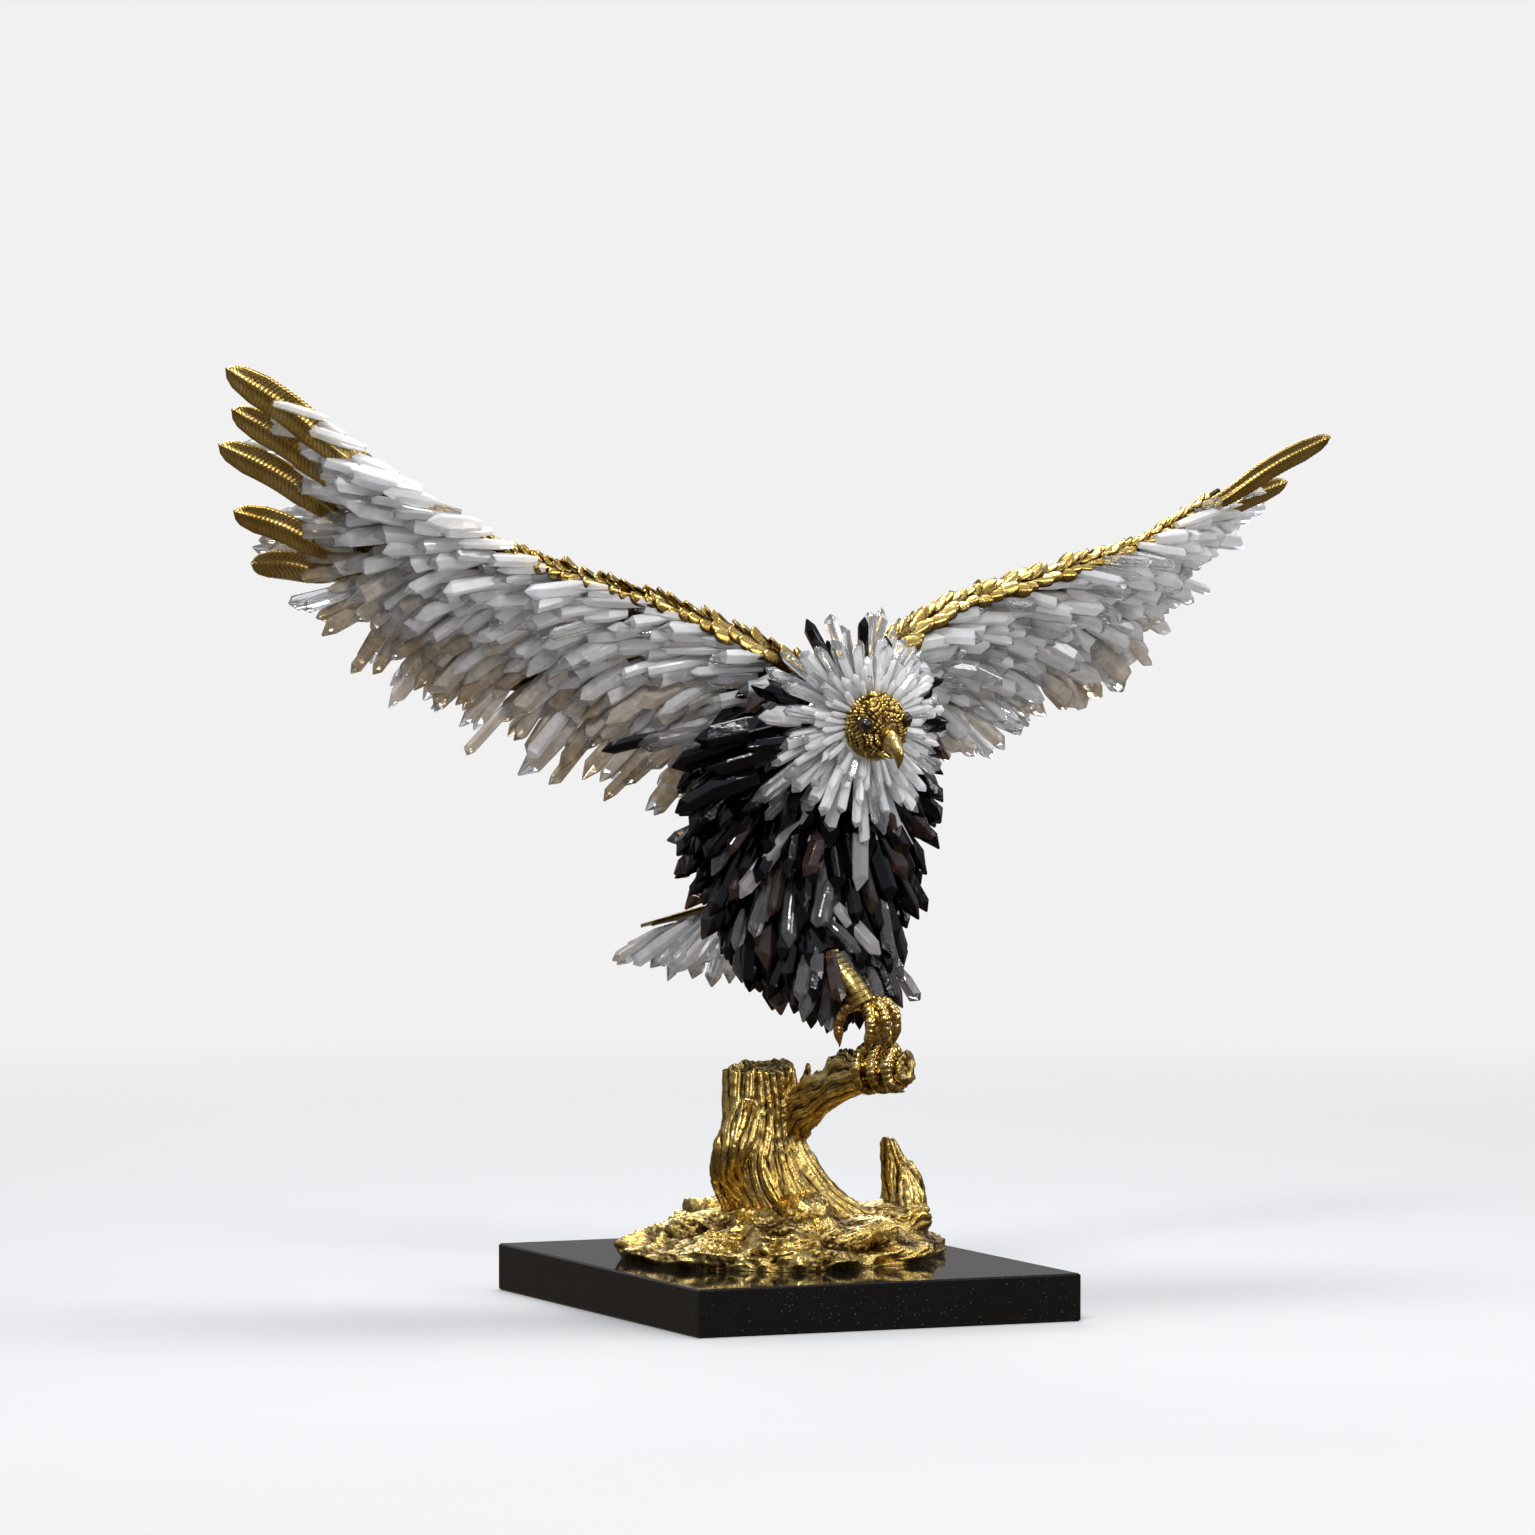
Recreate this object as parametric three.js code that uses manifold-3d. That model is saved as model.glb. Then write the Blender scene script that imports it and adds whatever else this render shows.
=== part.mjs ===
// An eagle with raised wings that perches on a gilt tree stump. Its feathers are quartz points: clear ones
// on the wings, tail and neck, smoky ones on the body. Head, legs, wing castings and stump are gilt metal,
// and the whole work stands on a slab of polished black granite.
// Millimetres, +Z up, +Y towards the back. The origin is the middle of the slab's underside.
import * as THREE from "three";
import { mergeVertices } from "three/addons/utils/BufferGeometryUtils.js";
import Module from "manifold-3d";

const wasm = await Module();
wasm.setup();

// The gap that is kept between two touching pieces, and the crumbs that a finished piece may lose.
const GAP = 0.4;
const SMOOTH = 0.1;

// Granite slab.
const PLINTH_WIDTH = 344;
const PLINTH_DEPTH = 436;
const PLINTH_HEIGHT = 40;
const PLINTH_CHAMFER = 1.5;

// Rock mound under the stump. Its profile has two ledges: shares of the height and of the half width.
const ROCK_HALF_WIDTH = 134;
const ROCK_HALF_DEPTH = 112;
const ROCK_HEIGHT = 42;
const ROCK_SIDES = 26;
const ROCK_PROFILE = [
  [0, 1],
  [0.28, 0.97],
  [0.42, 0.88],
  [0.66, 0.83],
  [0.86, 0.7],
  [1, 0.45],
];
const ROCK_ROUGH = 0.09;
const ROCK_LUMP = 0.16;

// Trunk from the rocks to its broken top: the middle and the half width and half depth at each height.
const TRUNK_PATH = [
  [6, 0, 6],
  [3, 2, 36],
  [-13, 3, 62],
  [-21, 4, 90],
  [-22, 4, 118],
  [-22, 4, 144],
  [-22, 4, 163],
];
const TRUNK_HALF_WIDTHS = [52, 43, 39, 37, 33, 30, 27];
const TRUNK_HALF_DEPTHS = [48, 41, 37, 34, 31, 29, 27];
const TRUNK_SIDES = 18;
const TRUNK_FLUTE = 0.07;
const TRUNK_TWIST = 0.06;
const TRUNK_BREAK_HEIGHT = 12;

// Roots and growths on the trunk, each a path and the radii along it.
const SWEEP_PATH = [
  [-4, -6, 90],
  [16, -16, 54],
  [54, -22, 27],
  [98, -20, 27],
  [122, -16, 34],
];
const SWEEP_RADII = [18, 20, 19, 16, 10];
const SPUR_PATH = [
  [108, 2, 20],
  [110, 4, 50],
  [103, 4, 78],
  [96, 3, 96],
];
const SPUR_RADII = [22, 18, 11, 0];
const STRAND_PATH = [
  [-62, -6, 88],
  [-64, -2, 68],
  [-55, 0, 46],
  [-42, 0, 28],
];
const STRAND_RADII = [7, 3.5, 3.5, 7];
const KNOT_PATH = [
  [-42, -20, 120],
  [-54, -18, 98],
  [-57, -12, 78],
];
const KNOT_RADII = [12, 19, 12];
const SPLINTER_PATH = [
  [8, -12, 138],
  [13, -14, 152],
  [15, -14, 166],
];
const SPLINTER_RADII = [6, 4, 0];

// Branch that the lower foot grips, from the trunk to its broken end, and the shares of its radius.
const BRANCH_PATH = [
  [2, -6, 116],
  [12, -44, 141],
  [27, -84, 158],
  [41, -118, 164],
  [49, -141, 166],
];
const BRANCH_RADIUS = 14;
const BRANCH_TAPER = [1.4, 1.15, 1.1, 1, 0.8];

// The bird's plane of symmetry stands at this place on the slab.
const BIRD_X = 12;
const BIRD_Y = 28;

// Leading edge of a wing from shoulder to hand: out from the bird's middle, back, and up.
const WING_LEAD = [
  [42, -96, 506],
  [123, -64, 546],
  [226, -55, 578],
  [319, -43, 614],
  [407, -8, 669],
];
// Chord of a wing at the same five places, from the leading edge to the trailing crystals.
const WING_CHORD = [
  [40, 90, -130],
  [55, 120, -138],
  [50, 140, -125],
  [15, 148, -128],
  [-20, 150, -135],
];
const WING_CHORD_LENGTH = 140;
const WING_CAMBER = 12;
const WING_SKIN = 4;
const WING_RIGHT_LIFT = 25;
const WING_LEFT_LIFT = -25;
const WING_ROLL_ROOT = 9;
const WING_ROLL_TIP = 4;
// Stations along the cast part of a wing, which starts inside the torso, and steps round its rolled edge.
const WING_ROWS = 15;
const WING_START = -0.1;
const ROLL_STEPS = 4;
// Feathers in relief on a wing's back: their edges on the chord, and how far they stand up.
const COVERT_EDGES = [0.1, 0.28, 0.5, 0.74];
const COVERT_SCALLOP = 0.05;
const COVERT_RELIEF_HEIGHT = 5;
const SCALE_RELIEF_HEIGHT = 3.5;

// Long gilt feathers at the hand: place on the chord, and the tip out, back and up.
const PRIMARIES = [
  [0.06, 506, -15, 719],
  [0.22, 491, 12, 685],
  [0.4, 494, 35, 656],
  [0.6, 468, 70, 600],
  [0.7, 440, 105, 556],
];
// The left hand folds its lower feathers further in than the right one.
const LEFT_PRIMARY_SHARES = [1, 0.93, 0.72, 0.66, 0.6];
const PRIMARY_WIDTH = 29;
const PRIMARY_THICK = 4;
const PRIMARY_LIFT = 30;

// Quartz points.
const CRYSTAL_RADIUS = 8.6;
const CRYSTAL_SIDES = 4;
const CRYSTAL_TIP = 0.24;

// The bed that carries a wing's points: its stations, its edges on the chord, and how thick it is.
const BED_STATIONS = 5;
const BED_EDGES = [0.1, 0.42, 0.74];
const BED_THICKNESS = 9;
const BED_ROOM = 2 * GAP;
// Rows of points under a wing: place on the chord, start on the span, count, and how much they point out,
// back and down. The first row covers the leading edge of the hand.
const WING_QUARTZ_ROWS = [
  { t: 0.1, from: 0.66, count: 3, aim: [1, -0.3, 0.3] },
  { t: 0.2, from: 0, count: 8, aim: [0.75, 0.55, 0.5] },
  { t: 0.46, from: 0, count: 9, aim: [0.65, 0.75, 0.45] },
  { t: 0.7, from: 0, count: 10, aim: [0.5, 0.95, 0.2] },
];
const WING_QUARTZ_LENGTHS = [66, 72, 72, 76];
const WING_QUARTZ_RADIUS = 9.6;

// Torso under the smoky quartz: height, place back, half width, half depth.
const TORSO_SECTION_SIZES = [
  [236, -76, 26, 22],
  [246, -71, 45, 39],
  [272, -62, 58, 53],
  [312, -54, 68, 62],
  [352, -50, 74, 66],
  [392, -52, 76, 64],
  [432, -60, 72, 54],
  [464, -70, 60, 44],
  [488, -80, 42, 34],
];
const TORSO_SIDES = 12;
const TORSO_TOP_HEIGHT = 14;
const TORSO_FOOT_HEIGHT = 4;
// Rows of smoky points, from the shoulders down, and how far each spreads sideways for a drop of 1.
const TORSO_ROW_HEIGHTS = [476, 440, 398, 354, 310, 270, 246];
const TORSO_ROW_LENGTHS = [62, 68, 70, 68, 68, 58, 40];
const TORSO_ROW_COUNTS = [7, 8, 9, 10, 9, 8, 6];
const TORSO_ROW_SPREADS = [2.4, 1.9, 1.3, 0.75, 0.6, 0.5, 0.35];
const TORSO_ROOT_DEPTH = 5;
const TORSO_FORWARD = 0.5;
// Thighs come forward from the torso: the path and the radius at each end.
const THIGH_ROOT_RADIUS = 34;
const THIGH_KNEE_RADIUS = 20;
const RIGHT_THIGH = [
  [-14, -60, 300],
  [-20, -104, 272],
  [-16, -132, 254],
];
const LEFT_THIGH = [
  [22, -60, 290],
  [26, -96, 262],
  [20, -116, 240],
];
const THIGH_POINT_COUNT = 5;
const THIGH_POINT_LENGTH = 50;

// Head: middle, facing and size.
const HEAD_PLACE = [10, -158, 454];
const HEAD_FACING = [0.109, -0.96, -0.259];
const HEAD_ROLL = 0.09;
const HEAD_HALF_WIDTH = 27;
const HEAD_HALF_HEIGHT = 29;
const HEAD_HALF_LENGTH = 32;
const BEAK_LENGTH = 34;
const BEAK_ROOT = 10;
const BEAK_DROP = 24;
const EYE_RADIUS = 4;
const EYE_ANGLE = 0.78;
const EYE_HEIGHT = 9;

// Neck and its ruff of clear quartz.
const NECK_ROOT = [0, -92, 446];
const NECK_ROOT_RADIUS = 38;
const NECK_FRONT_RADIUS = 34;
const NECK_FRONT_BEHIND = 4;
const RUFF_SINK_DEPTH = 7;
// Layers of the ruff: how far each stands behind the head's middle, its points, and their lean.
const RUFF_LAYER_DEPTHS = [10, 22, 36];
const RUFF_LENGTHS = [48, 58, 60];
const RUFF_COUNTS = [12, 12, 8];
const RUFF_LEANS = [0.02, 0.22, 0.45];
const RUFF_RADIUS = 7.2;

// Tail fan.
const TAIL_ROOT = [0, 0, 309];
const TAIL_TIP = [0, 217, 267];
const TAIL_ROOT_HALF = 24;
const TAIL_TIP_HALF = 54;
const TAIL_SKIN = 4;
const TAIL_FEATHERS = 7;
const TAIL_PLEAT_HEIGHT = 3;
const TAIL_STATIONS = [0, 0.3, 0.6, 0.9];
const TAIL_TIP_REACH = 0.1;
const TAIL_CURVE_BACK = 12;
const TAIL_CURVE_DOWN = 5;
// Rows of points under the tail: place from root to tip, count, length, and how much they point down.
const TAIL_ROWS = [0.22, 0.46, 0.72];
const TAIL_ROW_COUNTS = [3, 4, 5];
const TAIL_ROW_LENGTHS = [68, 68, 74];
const TAIL_ROW_DROPS = [0.75, 0.6, 0.3];

// Legs and toes. The last share of a toe's radius is the point of its claw.
const LEG_RADIUS = 9.5;
const LEG_TAPER = [1.1, 1, 1];
const TOE_RADIUS = 6.2;
const TOE_TAPER = [1, 0.95, 0.85, 0.5, 0];
const RIGHT_LEG_PATH = [
  [-8, -84, 280],
  [-4, -108, 258],
  [4, -126, 240],
  [12, -134, 222],
];
const RIGHT_TOES = [
  [
    [11, -134, 224],
    [15, -147, 214],
    [14, -150, 201],
    [12, -145, 184],
  ],
  [
    [12, -134, 225],
    [23, -147, 221],
    [28, -152, 205],
    [27, -146, 187],
  ],
  [
    [14, -132, 226],
    [31, -141, 224],
    [39, -145, 209],
    [37, -139, 190],
  ],
  [
    [11, -133, 222],
    [5, -119, 217],
    [2, -114, 205],
    [5, -116, 187],
  ],
];
const LEFT_LEG_PATH = [
  [24, -72, 276],
  [28, -92, 240],
  [35, -114, 203],
  [39, -119, 189],
];
// The left foot's place along the branch, and the spacing of its toes.
const LEFT_FOOT_SHARE = 0.85;
const LEFT_TOE_SPACING = 18;

const vec = (x, y, z) => new THREE.Vector3(x, y, z);
const mix = THREE.MathUtils.lerp;
const spline = (points) =>
  new THREE.CatmullRomCurve3(points, false, "catmullrom", 0.5);
const birdPoint = ([x, y, z]) => vec(BIRD_X + x, BIRD_Y + y, z);
const figurePoint = ([x, y, z]) => vec(x, y, z);

// A repeatable number from 0 to 1 for each whole number.
function chance(n) {
  const x = Math.sin(n * 12.9898 + 4.1414) * 43758.5453;
  return x - Math.floor(x);
}

// A point moved by several scaled directions.
function moved(point, ...steps) {
  const result = point.clone();
  for (const [direction, amount] of steps)
    result.addScaledVector(direction, amount);
  return result;
}

// The faces that close a ring of points, turned the way the ring runs or the other way.
function cap(ring, start, reversed) {
  const normal = vec(0, 0, 0);
  ring.forEach((p, i) => normal.add(p.clone().cross(ring[(i + 1) % ring.length])));
  const [u, v] = squareTo(normal.normalize());
  const flat = ring.map((p) => new THREE.Vector2(p.dot(u), p.dot(v)));
  return THREE.ShapeUtils.triangulateShape(flat, []).flatMap((corners) => {
    const [a, b, c] = corners.map((k) => flat[k]);
    const forward = b.clone().sub(a).cross(c.clone().sub(a)) > 0;
    const order = forward === reversed ? corners.reverse() : corners;
    return order.map((k) => start + k);
  });
}

// A closed solid through rings of points. A ring of one point closes the solid in a tip.
function loft(rings) {
  const positions = [];
  const starts = rings.map((ring) => {
    const start = positions.length / 3;
    for (const p of ring) positions.push(p.x, p.y, p.z);
    return start;
  });
  const faces = [];
  for (let i = 0; i + 1 < rings.length; i++) {
    const count = Math.max(rings[i].length, rings[i + 1].length);
    const low = (j) => starts[i] + (j % rings[i].length);
    const high = (j) => starts[i + 1] + (j % rings[i + 1].length);
    for (let j = 0; j < count; j++) {
      if (rings[i].length > 1) faces.push(low(j), low(j + 1), high(j + 1));
      if (rings[i + 1].length > 1) faces.push(low(j), high(j + 1), high(j));
    }
  }
  const last = rings.length - 1;
  if (rings[0].length > 1) faces.push(...cap(rings[0], starts[0], true));
  if (rings[last].length > 1)
    faces.push(...cap(rings[last], starts[last], false));
  const geometry = new THREE.BufferGeometry();
  geometry.setAttribute(
    "position",
    new THREE.Float32BufferAttribute(positions, 3),
  );
  geometry.setIndex(faces);
  return solid(geometry);
}

// A geometry as a solid, with its faces turned outwards.
function solid(source) {
  const bare = source.clone();
  bare.deleteAttribute("normal");
  bare.deleteAttribute("uv");
  const geometry = mergeVertices(bare, 1e-4);
  const triVerts = new Uint32Array(geometry.index.array);
  const make = () =>
    new wasm.Manifold(
      new wasm.Mesh({
        numProp: 3,
        vertProperties: geometry.attributes.position.array,
        triVerts,
      }),
    );
  const made = make();
  if (made.volume() > 0) return made;
  for (let i = 0; i < triVerts.length; i += 3)
    [triVerts[i + 1], triVerts[i + 2]] = [triVerts[i + 2], triVerts[i + 1]];
  return make();
}

const join = (parts) => parts.reduce((all, part) => all.add(part));

// The largest body of a solid, without the crumbs that a cut leaves.
function largest(body) {
  const bodies = body.decompose();
  bodies.sort((a, b) => b.volume() - a.volume());
  return bodies[0];
}

// Two directions square to an axis.
function squareTo(axis, towards = vec(0, 0, 1)) {
  const side = Math.abs(axis.dot(towards)) > 0.95 ? vec(0, 1, 0) : towards;
  const first = side.clone().addScaledVector(axis, -side.dot(axis)).normalize();
  return [first, axis.clone().cross(first)];
}

// A round rod along a smooth path, with its radius read from a list. A last radius of 0 makes a point.
function rod(points, radii, { sides = 7, rows = 6, grow = 0 } = {}) {
  const path = spline(points);
  const frames = path.computeFrenetFrames(rows);
  const rings = [];
  for (let i = 0; i <= rows; i++) {
    const t = i / rows;
    const at = t * (radii.length - 1);
    const k = Math.min(Math.floor(at), radii.length - 2);
    const radius = mix(radii[k], radii[k + 1], at - k);
    const end = i === 0 ? -grow : i === rows ? grow : 0;
    const centre = moved(path.getPointAt(t), [frames.tangents[i], end]);
    if (radius === 0) {
      rings.push([centre]);
      continue;
    }
    const ring = [];
    for (let j = 0; j < sides; j++) {
      const turn = (2 * Math.PI * j) / sides;
      ring.push(
        moved(
          centre,
          [frames.normals[i], Math.cos(turn) * (radius + grow)],
          [frames.binormals[i], Math.sin(turn) * (radius + grow)],
        ),
      );
    }
    rings.push(ring);
  }
  return loft(rings);
}

// One quartz point: a prism with a blunt pyramid on its end.
function crystal(root, direction, length, radius, seed, grow = 0) {
  const axis = direction.clone().normalize();
  const [u, v] = squareTo(axis);
  const turn = chance(seed) * Math.PI;
  const ring = (along, r) =>
    Array.from({ length: CRYSTAL_SIDES }, (_, j) => {
      const a = turn + (2 * Math.PI * j) / CRYSTAL_SIDES;
      return moved(
        root,
        [axis, along],
        [u, Math.cos(a) * r],
        [v, Math.sin(a) * r],
      );
    });
  return loft([
    ring(-grow, radius + grow),
    ring(length * (1 - CRYSTAL_TIP), radius * 0.94 + grow),
    [moved(root, [axis, length + 2 * grow])],
  ]);
}

// One feather: a leaf with a raised quill on both faces.
function feather(
  root,
  along,
  up,
  { length, width, thick, grow = 0 },
) {
  const axis = along.clone().normalize();
  const [top, across] = squareTo(axis, up);
  const rings = [
    [0, 0.6],
    [0.45, 1],
    [0.8, 0.95],
    [0.95, 0.6],
  ].map(([t, share]) => {
    const half = (width / 2) * share + grow;
    const rise = thick / 2 + grow;
    const centre = moved(root, [axis, t ? t * length : -grow]);
    return [
      moved(centre, [across, half]),
      moved(centre, [top, rise]),
      moved(centre, [across, -half]),
      moved(centre, [top, -rise]),
    ];
  });
  rings.push([moved(root, [axis, length + 2 * grow])]);
  return loft(rings);
}

function plinth() {
  const [w, d] = [PLINTH_WIDTH / 2, PLINTH_DEPTH / 2];
  const c = PLINTH_CHAMFER;
  const ring = (inset, z) => [
    vec(-w + inset, -d + inset, z),
    vec(w - inset, -d + inset, z),
    vec(w - inset, d - inset, z),
    vec(-w + inset, d - inset, z),
  ];
  return loft([
    ring(c, 0),
    ring(0, c),
    ring(0, PLINTH_HEIGHT - c),
    ring(c, PLINTH_HEIGHT),
  ]);
}

function rocks() {
  const rings = ROCK_PROFILE.map(([height, share], row) =>
    Array.from({ length: ROCK_SIDES }, (_, j) => {
      const turn = (2 * Math.PI * j) / ROCK_SIDES;
      const lobes =
        1 + 0.05 * Math.sin(3 * turn + 1) + 0.045 * Math.sin(7 * turn + 2);
      const rough = 1 + ROCK_ROUGH * (chance(row * 100 + j) - 0.5);
      const lump =
        row === 0 ? 0 : (chance(row * 57 + j) - 0.5) * ROCK_LUMP * ROCK_HEIGHT;
      return vec(
        Math.cos(turn) * ROCK_HALF_WIDTH * share * lobes * rough,
        Math.sin(turn) * ROCK_HALF_DEPTH * share * lobes * rough,
        height * ROCK_HEIGHT + lump,
      );
    }),
  );
  rings.push([vec(0, 0, ROCK_HEIGHT)]);
  return loft(rings);
}

// The trunk leans, is fluted like bark, and is broken off at the top.
function trunk() {
  const last = TRUNK_PATH.length - 1;
  const rings = TRUNK_PATH.map(([x, y, z], row) =>
    Array.from({ length: TRUNK_SIDES }, (_, j) => {
      const step = (2 * Math.PI * j) / TRUNK_SIDES;
      const turn = step + row * TRUNK_TWIST;
      const flute = 1 + TRUNK_FLUTE * Math.cos((TRUNK_SIDES / 2) * step);
      const broken =
        row === last ? (chance(j + 900) - 0.35) * TRUNK_BREAK_HEIGHT : 0;
      return vec(
        x + Math.cos(turn) * TRUNK_HALF_WIDTHS[row] * flute,
        y + Math.sin(turn) * TRUNK_HALF_DEPTHS[row] * flute,
        z + broken,
      );
    }),
  );
  const [x, y, z] = TRUNK_PATH[last];
  rings.push([vec(x, y, z - TRUNK_BREAK_HEIGHT / 4)]);
  return loft(rings);
}

function branch(grow = 0) {
  const radii = BRANCH_TAPER.map((share) => share * BRANCH_RADIUS);
  const path = BRANCH_PATH.map(figurePoint);
  return rod(path, radii, { sides: 8, rows: 6, grow });
}

// One root sweeps right and turns up in a broken spur. A loose strand and a knot stand on the trunk's left.
function roots() {
  const rods = [
    [SWEEP_PATH, SWEEP_RADII, { sides: 8, rows: 6 }],
    [SPUR_PATH, SPUR_RADII, { sides: 6, rows: 4 }],
    [STRAND_PATH, STRAND_RADII, { sides: 5, rows: 4 }],
    [KNOT_PATH, KNOT_RADII, { sides: 7, rows: 4 }],
    [SPLINTER_PATH, SPLINTER_RADII, { sides: 5, rows: 3 }],
  ];
  return join(
    rods.map(([path, radii, detail]) => rod(path.map(figurePoint), radii, detail)),
  );
}

function stump() {
  return largest(join([rocks(), trunk(), roots(), branch()]));
}

// One wing as a surface: s runs from shoulder to hand, t from the leading edge back.
function wingSurface(side, lift) {
  const last = WING_LEAD.length - 1;
  const lead = spline(
    WING_LEAD.map(([x, y, z], i) =>
      birdPoint([side * x, y, z + lift * (i / last) ** 3]),
    ),
  );
  const chord = spline(WING_CHORD.map(([x, y, z]) => vec(side * x, y, z)));
  const frame = (s) => {
    const at = Math.min(Math.max(s, 0), 1);
    const out = lead.getTangent(at);
    const back = chord.getPoint(at).normalize();
    const top = out.clone().cross(back).multiplyScalar(side).normalize();
    return { out, back, top };
  };
  const point = (s, t, rise = 0) => {
    const at = Math.min(Math.max(s, 0), 1);
    const { out, top } = frame(at);
    const reach = (s - at) * lead.getLength();
    const camber = WING_CAMBER * 4 * t * (1 - t);
    return moved(
      lead.getPoint(at),
      [out, reach],
      [chord.getPoint(at), t],
      [top, camber + rise],
    );
  };
  return { side, lift, lead, frame, point };
}

// The underside of a casting is flat between a few stations, so that the quartz bed lies against it.
function bedPoint(wing, station, t, rise) {
  const at = (k) => {
    const share = Math.min(k, BED_STATIONS) / BED_STATIONS;
    return wing.point(mix(WING_START, 1, share), t, rise);
  };
  const k = Math.floor(station);
  return at(k).lerp(at(k + 1), station - k);
}

function quartzBed(wing) {
  const rings = [];
  for (let k = 0; k <= BED_STATIONS; k++) {
    const line = (rise) => BED_EDGES.map((t) => bedPoint(wing, k, t, rise));
    rings.push([...line(-BED_THICKNESS), ...line(-BED_ROOM).reverse()]);
  }
  return loft(rings);
}

function wingSection(wing, row, grow) {
  const past = row === WING_ROWS ? grow : 0;
  const s = mix(WING_START, 1, row / WING_ROWS) + past / wing.lead.getLength();
  const { back, top } = wing.frame(s);
  const roll = mix(WING_ROLL_ROOT, WING_ROLL_TIP, s);
  const scale = roll + SCALE_RELIEF_HEIGHT * (1 - (row % 2)) + grow;
  const nose = Array.from({ length: ROLL_STEPS }, (_, j) => {
    const turn = THREE.MathUtils.degToRad(mix(-75, 105, j / (ROLL_STEPS - 1)));
    return moved(
      wing.point(s, 0.03, 1),
      [back, -Math.cos(turn) * scale],
      [top, Math.sin(turn) * (turn > 0 ? scale : roll + grow)],
    );
  });
  const cut = (row % 2) * COVERT_SCALLOP - grow / WING_CHORD_LENGTH;
  const over = COVERT_EDGES.slice(1).flatMap((edge, j) => [
    wing.point(s, COVERT_EDGES[j] + 0.02 - (j ? cut : 0), WING_SKIN + grow),
    wing.point(s, edge - cut, WING_SKIN + COVERT_RELIEF_HEIGHT + grow),
  ]);
  const inward = cut / (BED_EDGES[2] - BED_EDGES[1]);
  const [front, middle, edge] = BED_EDGES.map((t) =>
    bedPoint(wing, (row * BED_STATIONS) / WING_ROWS, t, -grow),
  );
  return [...nose, ...over, edge.lerp(middle, inward), middle, front];
}

function wingCasting(wing, grow = 0) {
  const rings = Array.from({ length: WING_ROWS + 1 }, (_, row) =>
    wingSection(wing, row, grow),
  );
  const parts = [loft(rings)];
  PRIMARIES.forEach(([t, x, y, z], i) => {
    const root = wing.point(0.9, t, WING_SKIN / 2);
    const lift = Math.sign(wing.lift) * PRIMARY_LIFT;
    const tip = birdPoint([wing.side * x, y, z + lift]);
    const along = tip.clone().sub(root);
    const share = wing.side > 0 ? LEFT_PRIMARY_SHARES[i] : 1;
    parts.push(
      feather(root, along, vec(0, 1, 0.25), {
        length: along.length() * share,
        width: PRIMARY_WIDTH - i,
        thick: PRIMARY_THICK,
        grow,
      }),
    );
  });
  return join(parts);
}

// Rows of clear quartz points on their bed, cut back from the casting.
function wingQuartz(wing, casting) {
  const parts = [quartzBed(wing)];
  WING_QUARTZ_ROWS.forEach((row, k) => {
    for (let i = 0; i < row.count; i++) {
      const seed = (wing.side + 2) * 1000 + k * 100 + i;
      const share = (i + (k % 2) / 2 + 0.1) / row.count;
      const s = mix(row.from, 0.98, share);
      const { out, back, top } = wing.frame(s);
      const aim = row.aim.map((value, j) =>
        value * (0.9 + 0.2 * chance(seed + j)),
      );
      const along = moved(
        vec(0, 0, 0),
        [out, aim[0]],
        [back, aim[1]],
        [top, -aim[2]],
      );
      const length = WING_QUARTZ_LENGTHS[k] * (0.9 + 0.25 * chance(seed + 7));
      const root = wing.point(s, row.t, -1.2 * WING_QUARTZ_RADIUS);
      parts.push(crystal(root, along, length, WING_QUARTZ_RADIUS, seed));
    }
  });
  return largest(join(parts).subtract(casting));
}

// The torso's ring at a height between two of its stations.
function torsoAt(height) {
  const sizes = TORSO_SECTION_SIZES;
  let k = sizes.length - 2;
  while (k > 0 && sizes[k][0] > height) k--;
  const share = (height - sizes[k][0]) / (sizes[k + 1][0] - sizes[k][0]);
  return sizes[k].map((value, i) => mix(value, sizes[k + 1][i], share));
}

function torsoPoint([z, y, halfWidth, halfDepth], turn, grow = 0) {
  return birdPoint([
    Math.cos(turn) * (halfWidth + grow),
    y + Math.sin(turn) * (halfDepth + grow),
    z,
  ]);
}

function torso(grow = 0) {
  const sizes = TORSO_SECTION_SIZES;
  const last = sizes.length - 1;
  const rings = sizes.map(([z, ...size], k) =>
    Array.from({ length: TORSO_SIDES }, (_, j) =>
      torsoPoint(
        [z + grow * mix(-1, 1, k / last), ...size],
        (2 * Math.PI * j) / TORSO_SIDES,
        grow,
      ),
    ),
  );
  const [footHeight, footBack] = sizes[0];
  const [topHeight, topBack] = sizes[last];
  rings.unshift([
    birdPoint([0, footBack, footHeight - TORSO_FOOT_HEIGHT - grow]),
  ]);
  rings.push([birdPoint([0, topBack, topHeight + TORSO_TOP_HEIGHT + grow])]);
  const thighs = [RIGHT_THIGH, LEFT_THIGH].map((path) =>
    rod(path.map(birdPoint), [THIGH_ROOT_RADIUS, THIGH_KNEE_RADIUS], {
      sides: 8,
      rows: 3,
      grow,
    }),
  );
  return join([loft(rings), ...thighs]);
}

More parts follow.
